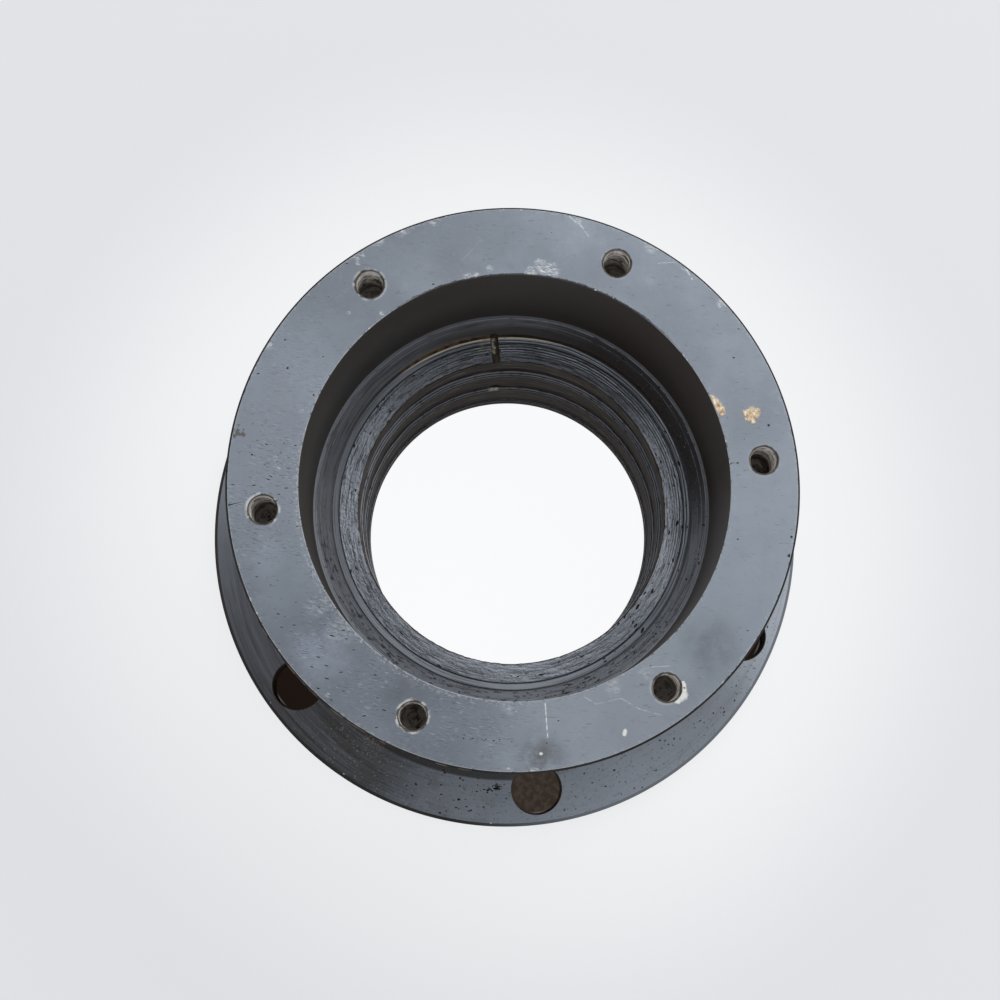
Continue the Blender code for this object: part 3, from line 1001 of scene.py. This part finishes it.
def upper_face():
    face = Finish("turned_face", (0.141, 0.161, 0.19), (0.197, 0.226, 0.263), 0.48, 0.45)
    left = face.side(LEFT, 0, 0.9)
    oily = face.noise(26, shift=3, detail=5, roughness=0.6).step(0.52, 0.75)
    face.paint(oily * 0.35, (0.098, 0.106, 0.121), 0.42)
    haze = face.noise(20, shift=7, detail=4).step(0.55, 0.78)
    face.paint(haze * 0.3, (0.27, 0.3, 0.34), 0.56)
    face.tint((228, 0.82, 1, 0.32, (0.09, 0.096, 0.11), 0.45),
              (283, 0.88, 1, 0.4, (0.29, 0.32, 0.36), 0.52),
              (340, 0.84, 1, 0.35, (0.27, 0.31, 0.35), 0.5),
              (163, 0.86, 1, 0.45, (0.25, 0.28, 0.325), 0.5))
    for radius, angle, size, amount, colour in SMEARS:
        face.paint(face.smear(radius, angle, size) * amount, colour, 0.5)

    face.height += face.streaks(4, 2200, detail=2) * 0.01
    mottle = face.noise(130, shift=13, detail=5, roughness=0.7)
    face.paint(mottle.step(0.52, 0.72) * 0.2, (0.11, 0.122, 0.142))
    face.paint(mottle.step(0.46, 0.28) * 0.2, (0.25, 0.28, 0.315))
    patchy = face.noise(45, shift=11, detail=3).step(0.36, 0.6)
    many = face.dashes(-14, 260, 1700, detail=2, distortion=0.3).step(0.56, 0.68)
    face.paint(many * patchy * left * 0.6, (0.066, 0.07, 0.082), depth=0.03)
    few = face.dashes(-8, 200, 1100, shift=5, detail=2, distortion=0.4)
    face.paint(few.step(0.66, 0.74) * 0.45, (0.07, 0.075, 0.086), depth=0.02)
    bright = face.dashes(-24, 260, 1500, shift=9, detail=2, distortion=0.4).step(0.58, 0.72)
    face.paint(bright * patchy * (left * 0.5 + 0.12), (0.33, 0.36, 0.41), 0.5)

    inner = face.radius.step(0.1172, 0.1133)
    outer = face.radius.step(0.1462, 0.149)
    fret = face.streaks(70, 700, detail=3, roughness=0.7)
    face.paint(inner * fret.step(0.5, 0.66) * (face.side(212, 0.3, 0.9) * 0.55 + 0.12), BARE, 0.5)
    face.paint(outer * fret.step(0.53, 0.68) * 0.45, BARE, 0.5)
    ring = face.hole(TAPPED_PITCH_RADIUS)[0].step(0.0096, 0.0084)
    ring *= face.noise(256, detail=4).step(0.44, 0.58)
    face.paint(ring * (face.side(LEFT, -0.4, 0.7) * 0.7 + 0.08), (0.55, 0.56, 0.56), 0.45)
    bitten = face.streaks(40, 0, detail=4, roughness=0.7).step(0.4, 0.7) * 0.0007
    fringe = (face.radius * -1 + bitten + COUNTERBORE_RADIUS).step(-0.0007, -0.0003)
    face.paint(fringe * face.side(BURNT_SIDE, 0.7, 0.9) * 0.9, BURNT, 0.6, depth=0.1)

    white = face.dashes(-18, 320, 1300, shift=2, detail=4, roughness=0.7, distortion=0.6)
    white = white.step(0.44, 0.62)
    for radius, angle, size, amount in SCUFFS:
        near = face.spot(radius, angle, size * 1.25, 0.6)
        face.paint(near * white * (amount * 0.75), WHITE_SCUFF, 0.6)
    for start, end, width, amount in SCRATCHES:
        face.paint(face.scratch(start, end, width) * amount, WHITE_SCUFF, 0.5, depth=0.03)
    face.paint(face.spots(CHALK, 0.5), CHALK_WHITE, 0.7)
    face.paint(face.spots(DENTS, 0.9), SOOT, 0.6, depth=0.12)
    face.paint(face.spot(0.146, 163.6, 0.003, 2) * 0.8, (0.08, 0.066, 0.052), 0.6)
    flake = face.spots(FLAKES, 0.35)
    # Painted highlight and painted shade on the flakes, which are only painted: pale where this
    # noise is high, dark brown where it is low.
    flake_highlight_shade = face.noise(520, detail=3, roughness=0.6)
    face.paint(flake, TAN, 0.75, depth=-0.25)
    face.paint(flake * flake_highlight_shade.step(0.5, 0.62), (0.8, 0.69, 0.54), 0.75, depth=-0.1)
    face.paint(flake * flake_highlight_shade.step(0.43, 0.36) * 0.8, (0.24, 0.155, 0.09), 0.75)
    face.close()


upper_face()
print("upper face:", len(materials["turned_face"].node_tree.nodes), "nodes")

# %% [markdown]
# ## Edges and sides
#
# A turned edge is thin, so it loses its oil first and shows as a pale line that comes and goes. The
# chamfer below it is near black, partly from black oil and partly as painted shade. The sides carry
# fine rings of the tool under the same oil.

# %% Worn edges, dark chamfers and turned sides
def worn_metal(name, metal, grime, share, cream_side=None):
    """An edge of grime with bare metal over a share of it."""
    edge = Finish(name, grime, (0.1, 0.105, 0.115), 0.45, 0.4)
    bare = edge.streaks(30, 0, detail=4, roughness=0.75)
    edge.paint(bare.step(0.62 - share * 0.3, 0.72 - share * 0.3), metal, 0.4)
    mouth = edge.radius.step(0.1145, 0.1137) * edge.z.step(HEIGHT - 0.005, HEIGHT - 0.003)
    edge.paint(mouth * edge.side(BURNT_SIDE, 0.7, 0.9) * 0.85, BURNT, 0.6)
    if cream_side is not None:
        deposit = edge.side(cream_side, 0.8, 0.92) * edge.noise(260, detail=3).step(0.36, 0.5)
        edge.paint(deposit, (0.52, 0.46, 0.33), 0.7)
    edge.close()


def turned_side():
    side = Finish("turned_side", (0.05, 0.05, 0.054), (0.095, 0.1, 0.11), 0.46, 0.35)
    side.height += side.streaks(3, 1500, along_axis=True, detail=2) * 0.03
    runs = side.streaks(60, 12, along_axis=True, detail=3).step(0.52, 0.7)
    side.paint(runs * 0.45, OIL, 0.36)
    side.close()


def dark_chamfer():
    """Near black: black oil and painted shade, with tan dirt on the upper flange's left, cleaner at
    the lower right.
    """
    # Painted shade: the near-black base colours stand partly for oil and partly for the shade of
    # the chamfers.
    chamfer = Finish(
        "dark_chamfer", (0.008, 0.0065, 0.0055), (0.024, 0.02, 0.018), 0.6, 0.2, shine=0.3)
    upper = chamfer.z.step(0.08, 0.1)
    dusty = chamfer.streaks(20, 300, detail=3).step(0.46, 0.6) * upper
    low = chamfer.z.step(HEIGHT - 0.0008, HEIGHT - 0.0012)
    chamfer.paint(dusty * low * chamfer.side(228, 0.8, 0.97) * 0.8, (0.19, 0.15, 0.105), 0.8)
    clean = chamfer.side(322, 0.35, 0.8) * (1 - upper)
    chamfer.paint(clean * 0.85, (0.165, 0.18, 0.205), 0.5)
    chamfer.close()


worn_metal("worn_edge", (0.4, 0.43, 0.46), (0.13, 0.145, 0.165), 0.8)
worn_metal("cone_rim", (0.22, 0.235, 0.26), (0.13, 0.138, 0.155), 1)
worn_metal("ledge_rim", (0.3, 0.32, 0.35), (0.1, 0.11, 0.12), 0.8, cream_side=93)
dark_chamfer()
turned_side()
print("edges done")

# %% [markdown]
# ## Lower flange and bottom
#
# The lower flange was turned more coarsely. Its left half lies under old brown oil with the rings
# of the tool showing through, and its right half is cleaner and full of pores.

# %% Lower flange and bottom
def lower_flange():
    face = Finish("lower_face", (0.165, 0.182, 0.208), (0.235, 0.26, 0.295), 0.5, 0.42)
    rings = face.streaks(2.5, 620, detail=4, roughness=0.75)
    dirty = (face.facing(209) + (face.noise(22, detail=3) - 0.5) * 0.3).step(0.68, 1)
    face.tint((343, 0.9, 1, 0.8, (0.33, 0.36, 0.4), 0.5))
    face.paint(dirty * 0.84, (0.047, 0.044, 0.045), 0.46)
    dark_rings = rings.step(0.52, 0.62) * (dirty * 0.6 + 0.15)
    face.paint(dark_rings, (0.022, 0.021, 0.023), 0.5, depth=0.05)
    face.paint(rings.step(0.48, 0.36) * dirty * 0.55, (0.15, 0.16, 0.182), 0.48)
    face.tint((190, 0.9, 1, 0.35, (0.15, 0.162, 0.186), 0.48))
    brown = face.noise(55, shift=2, detail=4).step(0.48, 0.7) * face.side(232, 0.75, 0.98)
    face.paint(brown * 0.5, (0.065, 0.052, 0.042), 0.5)
    torn = face.streaks(40, 800, detail=3, roughness=0.65).step(0.58, 0.67)
    face.paint(torn * face.side(262, 0.6) * 0.5, (0.04, 0.041, 0.046), depth=0.08)
    face.tint((270, 0.86, 1, 0.35, (0.33, 0.37, 0.42), 0.5))
    face.paint(face.smear(0.165, 234, 0.022, LOWER_Z) * 0.4, (0.062, 0.058, 0.058), 0.46)
    pores = face.noise(620, detail=2).step(0.66, 0.72) * face.side(290, 0.3, 0.9)
    face.paint(pores * 0.75, SOOT, 0.6, depth=0.05)
    face.height += face.noise(300, shift=5, detail=3) * 0.12
    glints = face.noise(820, shift=3, detail=2).step(0.63, 0.69) * face.side(246, 0.8, 0.97)
    face.paint(glints * 0.5, (0.3, 0.32, 0.36), 0.45)
    # Painted shade: a dark band on the lower flange beside the neck, on the lower left side, stands
    # for the shadow under the upper flange's edge.
    painted_shade_band = face.radius.step(0.1562, 0.1545) * face.side(243, 0.78, 0.95)
    face.paint(painted_shade_band * 0.85, (0.02, 0.017, 0.015), 0.5)
    scar = face.spots(((0.1597, 261.2, 0.0024), (0.1612, 259.6, 0.0012)), 0.9, LOWER_Z)
    face.paint(scar * 0.85, (0.03, 0.024, 0.021), 0.6, depth=0.3)
    dust = face.dashes(25, 420, 1100, detail=4, roughness=0.7, distortion=1.5)
    dust = dust.step(0.54, 0.63) * face.smear(0.1585, 231, 0.0095, LOWER_Z)
    face.paint(dust, (0.42, 0.37, 0.29), 0.8)
    face.close()


def bottom_face():
    face = Finish("bottom_face", (0.11, 0.118, 0.134), (0.17, 0.184, 0.205), 0.5, 0.4)
    rings = face.streaks(2.5, 700, detail=3).step(0.52, 0.68)
    face.paint(rings * 0.4, (0.06, 0.062, 0.068), 0.5, depth=0.03)
    face.paint(face.noise(24, shift=4, detail=5).step(0.5, 0.72) * 0.5, OIL, 0.42)
    face.close()


lower_flange()
bottom_face()
print("flange faces done")

# %% [markdown]
# ## Counterbore, cone and ledge
#
# The wall of the counterbore hardly sees any light, and its dark brown is partly brown oil and
# partly painted shade. The cone is a little cleaner, with pores. The ledge has two bands: the outer
# one is smooth, and the inner one is torn along the cut, with dark pores drawn out round the axis.
# On the wall, the cone and the ledge, some sides are painted paler or darker by their angle, as
# painted light and shade, and the ledge's ridges get a painted highlight and painted shade.

# %% Counterbore wall, cone and ledge
def counterbore_wall():
    # Painted shade: the dark brown base colours stand partly for oil and partly for shade. Painted
    # light and shade: the tints make some sides paler or darker by their angle.
    wall = Finish("counterbore_wall", (0.034, 0.0245, 0.0185), (0.054, 0.043, 0.036),
                  0.62, 0.1, shine=0.15)
    wall.tint((130, 0.1, 0.8, 0.8, (0.074, 0.07, 0.066), 0.6),
              (326, 0.8, 1, 0.75, (0.12, 0.11, 0.108), 0.6),
              (45, 0.6, 1, 0.35, (0.072, 0.06, 0.053), 0.6),
              (197, 0.7, 1, 0.5, (0.036, 0.028, 0.021), 0.6))
    near_mouth = wall.z.step(HEIGHT - 0.045, HEIGHT - 0.006) * wall.side(180, -0.4, 0.5)
    wall.paint(near_mouth * 0.75, (0.036, 0.027, 0.018), 0.6)
    rings = wall.streaks(3, 900, along_axis=True, detail=3)
    wall.height += rings * 0.03
    wall.paint(rings.step(0.55, 0.7) * 0.3, (0.05, 0.044, 0.036), 0.55)
    olive = wall.noise(60, shift=1, detail=4).step(0.5, 0.72) * wall.side(180, 0, 0.6)
    wall.paint(olive * 0.5, (0.052, 0.046, 0.028), 0.6)
    dry = wall.noise(700, shift=1, detail=2).step(0.72, 0.78) * wall.side(340, 0.8, 0.95)
    wall.paint(dry, (0.3, 0.28, 0.24), 0.6)
    wall.close()


def cone_face():
    cone = Finish("cone_face", (0.15, 0.153, 0.165), (0.225, 0.232, 0.255), 0.5, 0.35, shine=0.3)
    # Painted light and shade: each tint makes one side of the cone paler or darker by its angle, as
    # light falls on it.
    cone.tint((30, 0.62, 0.96, 0.85, (0.042, 0.038, 0.036), 0.5),
              (268, 0, 0.7, 0.9, (0.255, 0.272, 0.305), 0.5),
              (222, 0.75, 1, 0.35, (0.08, 0.083, 0.092), 0.5),
              (322, 0.75, 1, 0.55, (0.36, 0.38, 0.42), 0.5))
    brown = cone.side(58, 0.4, 0.9) * cone.radius.step(0.1092, 0.1062)
    cone.paint(brown * 0.65, (0.05, 0.037, 0.028), 0.55)
    # Painted highlights: a paler band near the top of the cone on one side, and two pale lines
    # round it.
    band = cone.radius.step(0.1092, 0.1104) * cone.side(150, -0.1, 0.8)
    cone.paint(band * 0.45, (0.235, 0.252, 0.285), 0.48)
    for radius, half, amount in ((0.1113, 0.0004, 1), (0.109, 0.0003, 0.35)):
        line = abs(cone.radius - radius).step(half, half * 0.4)
        line *= cone.streaks(14, 0).step(0.3, 0.5) * amount
        cone.paint(line, (0.42, 0.44, 0.48), 0.42)
    rings = cone.streaks(4, 1300, detail=4).step(0.5, 0.64)
    cone.paint(rings * 0.55, (0.05, 0.05, 0.055), 0.5, depth=0.05)
    torn = cone.streaks(28, 900, detail=4, roughness=0.65).step(0.54, 0.6)
    cone.paint(torn * cone.side(250, 0, 0.7) * 0.85, (0.022, 0.021, 0.023), 0.6, depth=0.15)
    right = cone.side(350, -0.1, 0.8)
    cone.paint(cone.noise(520, detail=2).step(0.64, 0.7) * right, SOOT, 0.6, depth=0.1)
    glints = cone.noise(620, shift=6, detail=2).step(0.68, 0.73)
    cone.paint(glints * right, (0.34, 0.35, 0.36), 0.45)
    rust = cone.radius.step(0.1058, 0.1048) * cone.side(105, 0.97, 0.99) * rusty(cone)
    cone.paint(rust * 0.6, (0.26, 0.165, 0.09), 0.7)
    cone.close()


def rusty(surface):
    """Patches of rust, the same on the cone and on the groove at its foot."""
    return surface.noise(200, detail=3).step(0.4, 0.55)


def relief():
    """The thin groove round the ledge: grey like the cone, and brown where dirt has settled."""
    groove = Finish("relief", (0.085, 0.088, 0.098), (0.135, 0.142, 0.158), 0.55, 0.3, shine=0.3)
    groove.tint((75, 0.2, 0.8, 0.9, (0.04, 0.027, 0.018), 0.6))
    rust = groove.side(105, 0.93, 0.98) * rusty(groove)
    groove.paint(rust * 0.7, (0.25, 0.155, 0.08), 0.7)
    groove.close()


def ledge_face():
    ledge = Finish("ledge_face", (0.185, 0.203, 0.232), (0.275, 0.3, 0.34),
                   0.48, 0.45, shine=0.4)
    inner = ledge.radius.step(LEDGE_LINE_RADIUS + 0.0008, LEDGE_LINE_RADIUS - 0.0008)
    outer = 1 - inner
    dim, pale = (0.085, 0.089, 0.099), (0.36, 0.39, 0.44)
    # Painted light and shade: by angle, some sides of each band are painted darker where they lie
    # in shade, and others paler where light falls on them.
    for angle, start, where, amount, colour in (
            (84, 0.2, inner * 0.7 + 0.3, 0.46, (0.06, 0.058, 0.058)),
            (170, 0.6, outer, 0.5, dim), (335, 0.8, outer, 0.4, dim),
            (225, 0.8, inner, 0.3, dim), (165, 0.7, inner, 0.5, pale),
            (355, 0.7, inner, 1, (0.5, 0.53, 0.59)), (30, 0.7, outer, 0.35, (0.36, 0.37, 0.4))):
        ledge.paint(ledge.side(angle, start) * where * amount, colour, 0.46)
    torn = ledge.streaks(8, 950, detail=5, roughness=0.72)
    plainer = (1 - ledge.side(285, 0.2, 0.9) * 0.4) * inner
    ledge.paint(torn.step(0.54, 0.63) * plainer * 0.65, (0.034, 0.035, 0.04), 0.5, depth=0.25)
    ledge.paint(torn.step(0.45, 0.33) * plainer * 0.32, (0.38, 0.41, 0.46), 0.42)
    lumps = ledge.streaks(52, 800, detail=3, roughness=0.6)
    lumpy = (ledge.side(165, 0.2, 0.9) + ledge.side(0, 0.4, 0.95)).at_most(1) * inner
    ledge.height += lumps * (lumpy * 0.35 + inner * 0.42)
    ledge.paint(lumps.step(0.44, 0.34) * lumpy * 0.45, (0.04, 0.041, 0.047), 0.5)
    # Painted highlight and painted shade: the crests of the tool's ridges are painted pale and
    # their troughs near black, where the ridges stand out.
    wave, ridged = ridge_wave(ledge), ridged_part(ledge)
    ledge.paint(wave.step(0.1, 0.8) * ridged * 0.68, (0.02, 0.019, 0.02), 0.5)
    ledge.paint(wave.step(-0.3, -0.95) * ridged * 0.85, (0.46, 0.49, 0.54), 0.4)
    fine = ledge.streaks(2, 1250, detail=3).step(0.54, 0.62)
    ledge.paint(fine * 0.6, (0.055, 0.058, 0.066), 0.48, depth=0.06)
    line = abs(ledge.radius - LEDGE_LINE_RADIUS).step(0.0005, 0.0002)
    ledge.paint(line * 0.75, SOOT, 0.5)
    near_notch = ledge.facing(94)
    width = near_notch.step(0.86, 0.99) * 0.0006 + 0.0005
    rim = (LEDGE_RADIUS - ledge.radius - width).step(0.0003, -0.0003) * near_notch.step(0.84, 0.92)
    patches = ledge.noise(170, detail=4).step(0.3, 0.42)
    ledge.paint(rim * patches, (0.85, 0.78, 0.62), 0.65)
    grime = ledge.spot(0.0985, 92, 0.007, 1.6, LEDGE_Z)
    grime *= ledge.noise(300, detail=3).step(0.42, 0.6)
    ledge.paint(grime * 0.5, (0.31, 0.285, 0.235), 0.6)
    ledge.close()


counterbore_wall()
cone_face()
relief()
ledge_face()
print("inner faces done")

# %% [markdown]
# ## Bore, holes and hollows
#
# The bore's lands are dark brown, partly burnt oil and partly painted shade, and the lower side of
# each groove is painted pale, a painted highlight for the light it catches. The tapped holes are
# painted far paler than the rest as painted light, with painted shade deeper down. Pits hold oil,
# and nicks are bare.

# %% Bore, threads, drilled walls, pits and nicks
GROOVE_RIDGE_PITCH = 0.00135


def bore_wall():
    # Painted shade: the dark brown base colours stand partly for burnt oil and partly for the shade
    # in the bore.
    wall = Finish("bore_wall", (0.046, 0.033, 0.0235), (0.088, 0.069, 0.052),
                  0.62, 0.1, shine=0.15)
    rings = wall.streaks(5, 700, along_axis=True, detail=3)
    wall.paint(rings.step(0.5, 0.62) * 0.8, (0.014, 0.01, 0.007), 0.6, depth=0.08)
    # Painted reflection: the pale rings stand for light reflected along the bore.
    wall.paint(rings.step(0.43, 0.34) * 0.7, (0.17, 0.165, 0.16), 0.5)
    wall.close()


def groove_floor():
    """The lower side of a groove, pale as a painted highlight, with a cream lump at the lubrication
    hole.
    """
    # Painted highlight: the base colours are much paler than the iron elsewhere, for the light that
    # the upward side of the groove catches.
    floor = Finish("groove_floor", (0.33, 0.345, 0.385), (0.47, 0.495, 0.55),
                   0.42, 0.45, shine=0.3)
    waver = (floor.streaks(9, 300, detail=2) - 0.5) * 0.0007
    turns = (floor.radius - BORE_RADIUS + waver) * (2 * math.pi / GROOVE_RIDGE_PITCH)
    wave = turns.math("COSINE").step(-0.05, -0.65)
    floor.paint(wave * 0.88, (0.04, 0.032, 0.026), 0.55, depth=0.1)
    torn = floor.streaks(18, 500, detail=4).step(0.54, 0.68)
    floor.paint(torn * 0.6, (0.06, 0.052, 0.045), 0.55)
    inside = BORE_RADIUS + 0.001
    lump = floor.spots(((inside, 91.2, 0.0026), (inside, 89.6, 0.0022)),
                       0.7, LUBE_Z - LUBE_RADIUS - 0.0006)
    floor.paint(lump, (0.9, 0.87, 0.8), 0.7, depth=-0.1)
    floor.close()


def drilled_wall():
    wall = Finish("drilled_wall", (0.03, 0.021, 0.015), (0.09, 0.07, 0.052),
                  0.6, 0.1, clouds=160, shine=0.2)
    specks = wall.spots(
        ((0.1022, 90.8, 0.002), (0.1, 90.9, 0.0018), (0.0978, 90.4, 0.0017),
         (0.0955, 90.8, 0.0018)), 1, LEDGE_Z - NOTCH_RADIUS)
    wall.paint(specks * 0.7, CREAM, 0.7)
    wall.close()


def thread():
    """Pale metal as painted light, crossed by bands of painted shade along the thread, darker deep
    down as painted shade, with a dark ring near the mouth and a bare lip.
    """
    # Painted light: the base colours are far paler than the iron elsewhere, so the wall inside the
    # hole shows bright.
    wall = Finish("thread", (0.68, 0.65, 0.6), (0.92, 0.88, 0.82), 0.38, 0.15, clouds=400)
    far, way_x, way_y, number = wall.hole(TAPPED_PITCH_RADIUS)
    depth = HEIGHT - wall.z

    def bands(around, deep, shift, start, end):
        run = depth * deep + far * (deep * 1.5) + number * 7.3 + shift
        point = wall.graph.vector(way_x * around, way_y * around, run)
        return wall.graph.noise(point, detail=3, roughness=0.6, distortion=0.4).step(start, end)

    # Painted shade: two bands darken the thread, and a layer darkens it deep down. The other two
    # layers darken it slightly near the top and in a ring just under the mouth.
    for mask, colour, roughness in (
            (bands(0.7, 420, 3, 0.48, 0.58) * 0.65, (0.12, 0.094, 0.076), 0.5),
            (bands(0.6, 230, 0, 0.52, 0.62) * 0.88, (0.046, 0.024, 0.017), 0.5),
            (depth.step(0.008, 0.002) * 0.15, (0.14, 0.112, 0.09), 0.5),
            (depth.step(0.018, 0.026) * 0.45, (0.13, 0.078, 0.06), 0.5),
            (depth.step(0.0026, 0.0014) * 0.93, (0.036, 0.027, 0.02), 0.6)):
        wall.paint(mask, colour, roughness)
    lip = depth.step(0.0006, 0.0002) * wall.noise(256, detail=4).step(0.42, 0.54)
    wall.paint(lip * (wall.side(LEFT, -0.4, 0.7) * 0.6 + 0.3), (0.62, 0.63, 0.62), 0.42)
    wall.close()


bore_wall()
groove_floor()
thread()
drilled_wall()
Finish("pit", (0.012, 0.011, 0.011), (0.035, 0.034, 0.036), 0.6, 0.2, clouds=160, shine=0.2).close()
Finish("nick", (0.38, 0.39, 0.41), (0.6, 0.61, 0.62), 0.4, 0.5, clouds=160).close()
print("materials:", sum(len(m.node_tree.nodes) for m in materials.values()), "nodes")

# %% [markdown]
# # Floor, light and camera
#
# The floor and the sky stay pale where they are seen, and light the part as plain surfaces do. The
# floor has an old oil stain under the part, which the through holes look down on.

# %% Floor and light
FLOOR_GAP = 0.0005
FLOOR_HALF_WIDTH = 20.0
FLOOR_ROUGHNESS = 0.9
GLOSSY_SHARE = 0.4
SKY = (0.88, 0.9, 0.93)
SKY_STRENGTH = 0.72
PALE = (0.8, 0.81, 0.83)
BACKDROP_NEAR = (0.95, 0.955, 0.965)
BACKDROP_FAR = (0.75, 0.758, 0.785)
STAIN_INNER, STAIN_OUTER, STAIN_EDGE = 0.094, 0.176, 0.006


def make_floor():
    mesh = bpy.data.meshes.new("floor")
    with edited(mesh) as shape:
        bmesh.ops.create_grid(shape, x_segments=1, y_segments=1, size=FLOOR_HALF_WIDTH)
    floor = put_in_scene("floor", mesh)
    floor.location.z = body_low.z - FLOOR_GAP
    floor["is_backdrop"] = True
    return floor


def seen_rays(graph):
    """1 for camera and transmitted rays, which show the pale background, less for glossy ones."""
    rays = graph.node("ShaderNodeLightPath")
    clear = rays["Is Camera Ray"].at_least(rays["Is Transmission Ray"])
    return clear.at_least(rays["Is Glossy Ray"] * GLOSSY_SHARE)


def dress_floor(floor):
    """A pale floor that fades a little outwards, with a soft shadow and an oil stain on it."""
    paper = new_material("pale_floor")
    floor.data.materials.append(paper)
    graph = Graph(paper.node_tree)
    place = Round(graph, graph.node("ShaderNodeTexCoord", output="Object"))
    under = place.radius.step(STAIN_INNER, STAIN_INNER + STAIN_EDGE) \
        * place.radius.step(STAIN_OUTER + STAIN_EDGE, STAIN_OUTER)
    mottled = graph.noise(place.point, 260.0, detail=3.0).step(0.35, 0.65) * 0.5 + 0.5
    oil_stain = blend(
        graph, place.side(270, 0.6) * mottled, (0.014, 0.009, 0.007), (0.06, 0.047, 0.037))
    inside = place.radius.step(STAIN_INNER, STAIN_INNER - STAIN_EDGE)
    pale = blend(graph, place.radius.step(0.17, 0.35), BACKDROP_NEAR, BACKDROP_FAR)
    shader = paper.node_tree.nodes["Principled BSDF"]
    shader.inputs["Roughness"].default_value = FLOOR_ROUGHNESS
    plain = blend(graph, under, PALE, oil_stain)
    graph.tree.links.new(plain.socket, shader.inputs["Base Color"])
    shown = graph.node("ShaderNodeEmission", None, {
        "Color": blend(graph, under, pale, oil_stain), "Strength": inside * 0.04 + 1.0})
    share = seen_rays(graph) * (inside * 0.15 + place.radius.step(0.5, 3.0) * 0.2 + 0.8)
    surface = Wire(graph, shader.outputs["BSDF"])
    mixed = graph.node("ShaderNodeMixShader", None, {0: share, 1: surface, 2: shown})
    out = next(n for n in graph.tree.nodes if n.type == "OUTPUT_MATERIAL")
    graph.tree.links.new(mixed.socket, out.inputs["Surface"])


def light_world(colour, strength):
    """An even sky for the light, which the camera sees in the colour of the far floor."""
    world = bpy.context.scene.world or bpy.data.worlds.new("studio")
    bpy.context.scene.world = world
    world.use_nodes = True
    graph = Graph(world.node_tree)
    seen = seen_rays(graph)
    sky = {"Color": blend(graph, seen, colour, BACKDROP_FAR),
           "Strength": seen * (1.0 - strength) + strength}
    background = world.node_tree.nodes["Background"]
    for name, wire in sky.items():
        graph.tree.links.new(wire.socket, background.inputs[name])


def soft_light(name, place, aim, size, power):
    """A round area light that faces a point."""
    lamp = bpy.data.lights.new(name, "AREA")
    lamp.shape = "DISK"
    lamp.size = size
    lamp.energy = power
    light = put_in_scene(name, lamp)
    light.location = place
    light.rotation_euler = (Vector(aim) - Vector(place)).to_track_quat("-Z", "Y").to_euler()


dress_floor(make_floor())
light_world(SKY, SKY_STRENGTH)
soft_light("sky_panel", place=(0.95, 1.15, 2.1), aim=(0.0, 0.0, 0.15), size=1.9, power=34.0)
print("floor, sky and one soft light")

# %% Camera
CAMERA_PLACE = (-0.038, -0.1386, 1.0522)
CAMERA_TURN = (7.272, -5.133, -6.553)
CAMERA_LENS = 58.893
CAMERA_SHIFT = (-0.12, 0.05)
SENSOR_WIDTH = 36.0

lens = bpy.data.cameras.new("camera")
lens.lens = CAMERA_LENS
lens.sensor_width = SENSOR_WIDTH
lens.shift_x, lens.shift_y = CAMERA_SHIFT
camera = put_in_scene("camera", lens)
camera.location = CAMERA_PLACE
camera.rotation_euler = Euler([math.radians(a) for a in CAMERA_TURN])
bpy.context.scene.camera = camera
bpy.context.scene.view_settings.view_transform = "Standard"
print("camera at", [round(v, 3) for v in camera.location])

# %% Sizes, and the end
low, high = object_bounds()
print("visual box:", [round(v, 5) for v in (*low, *high)], round(time.time() - started, 1), "s")
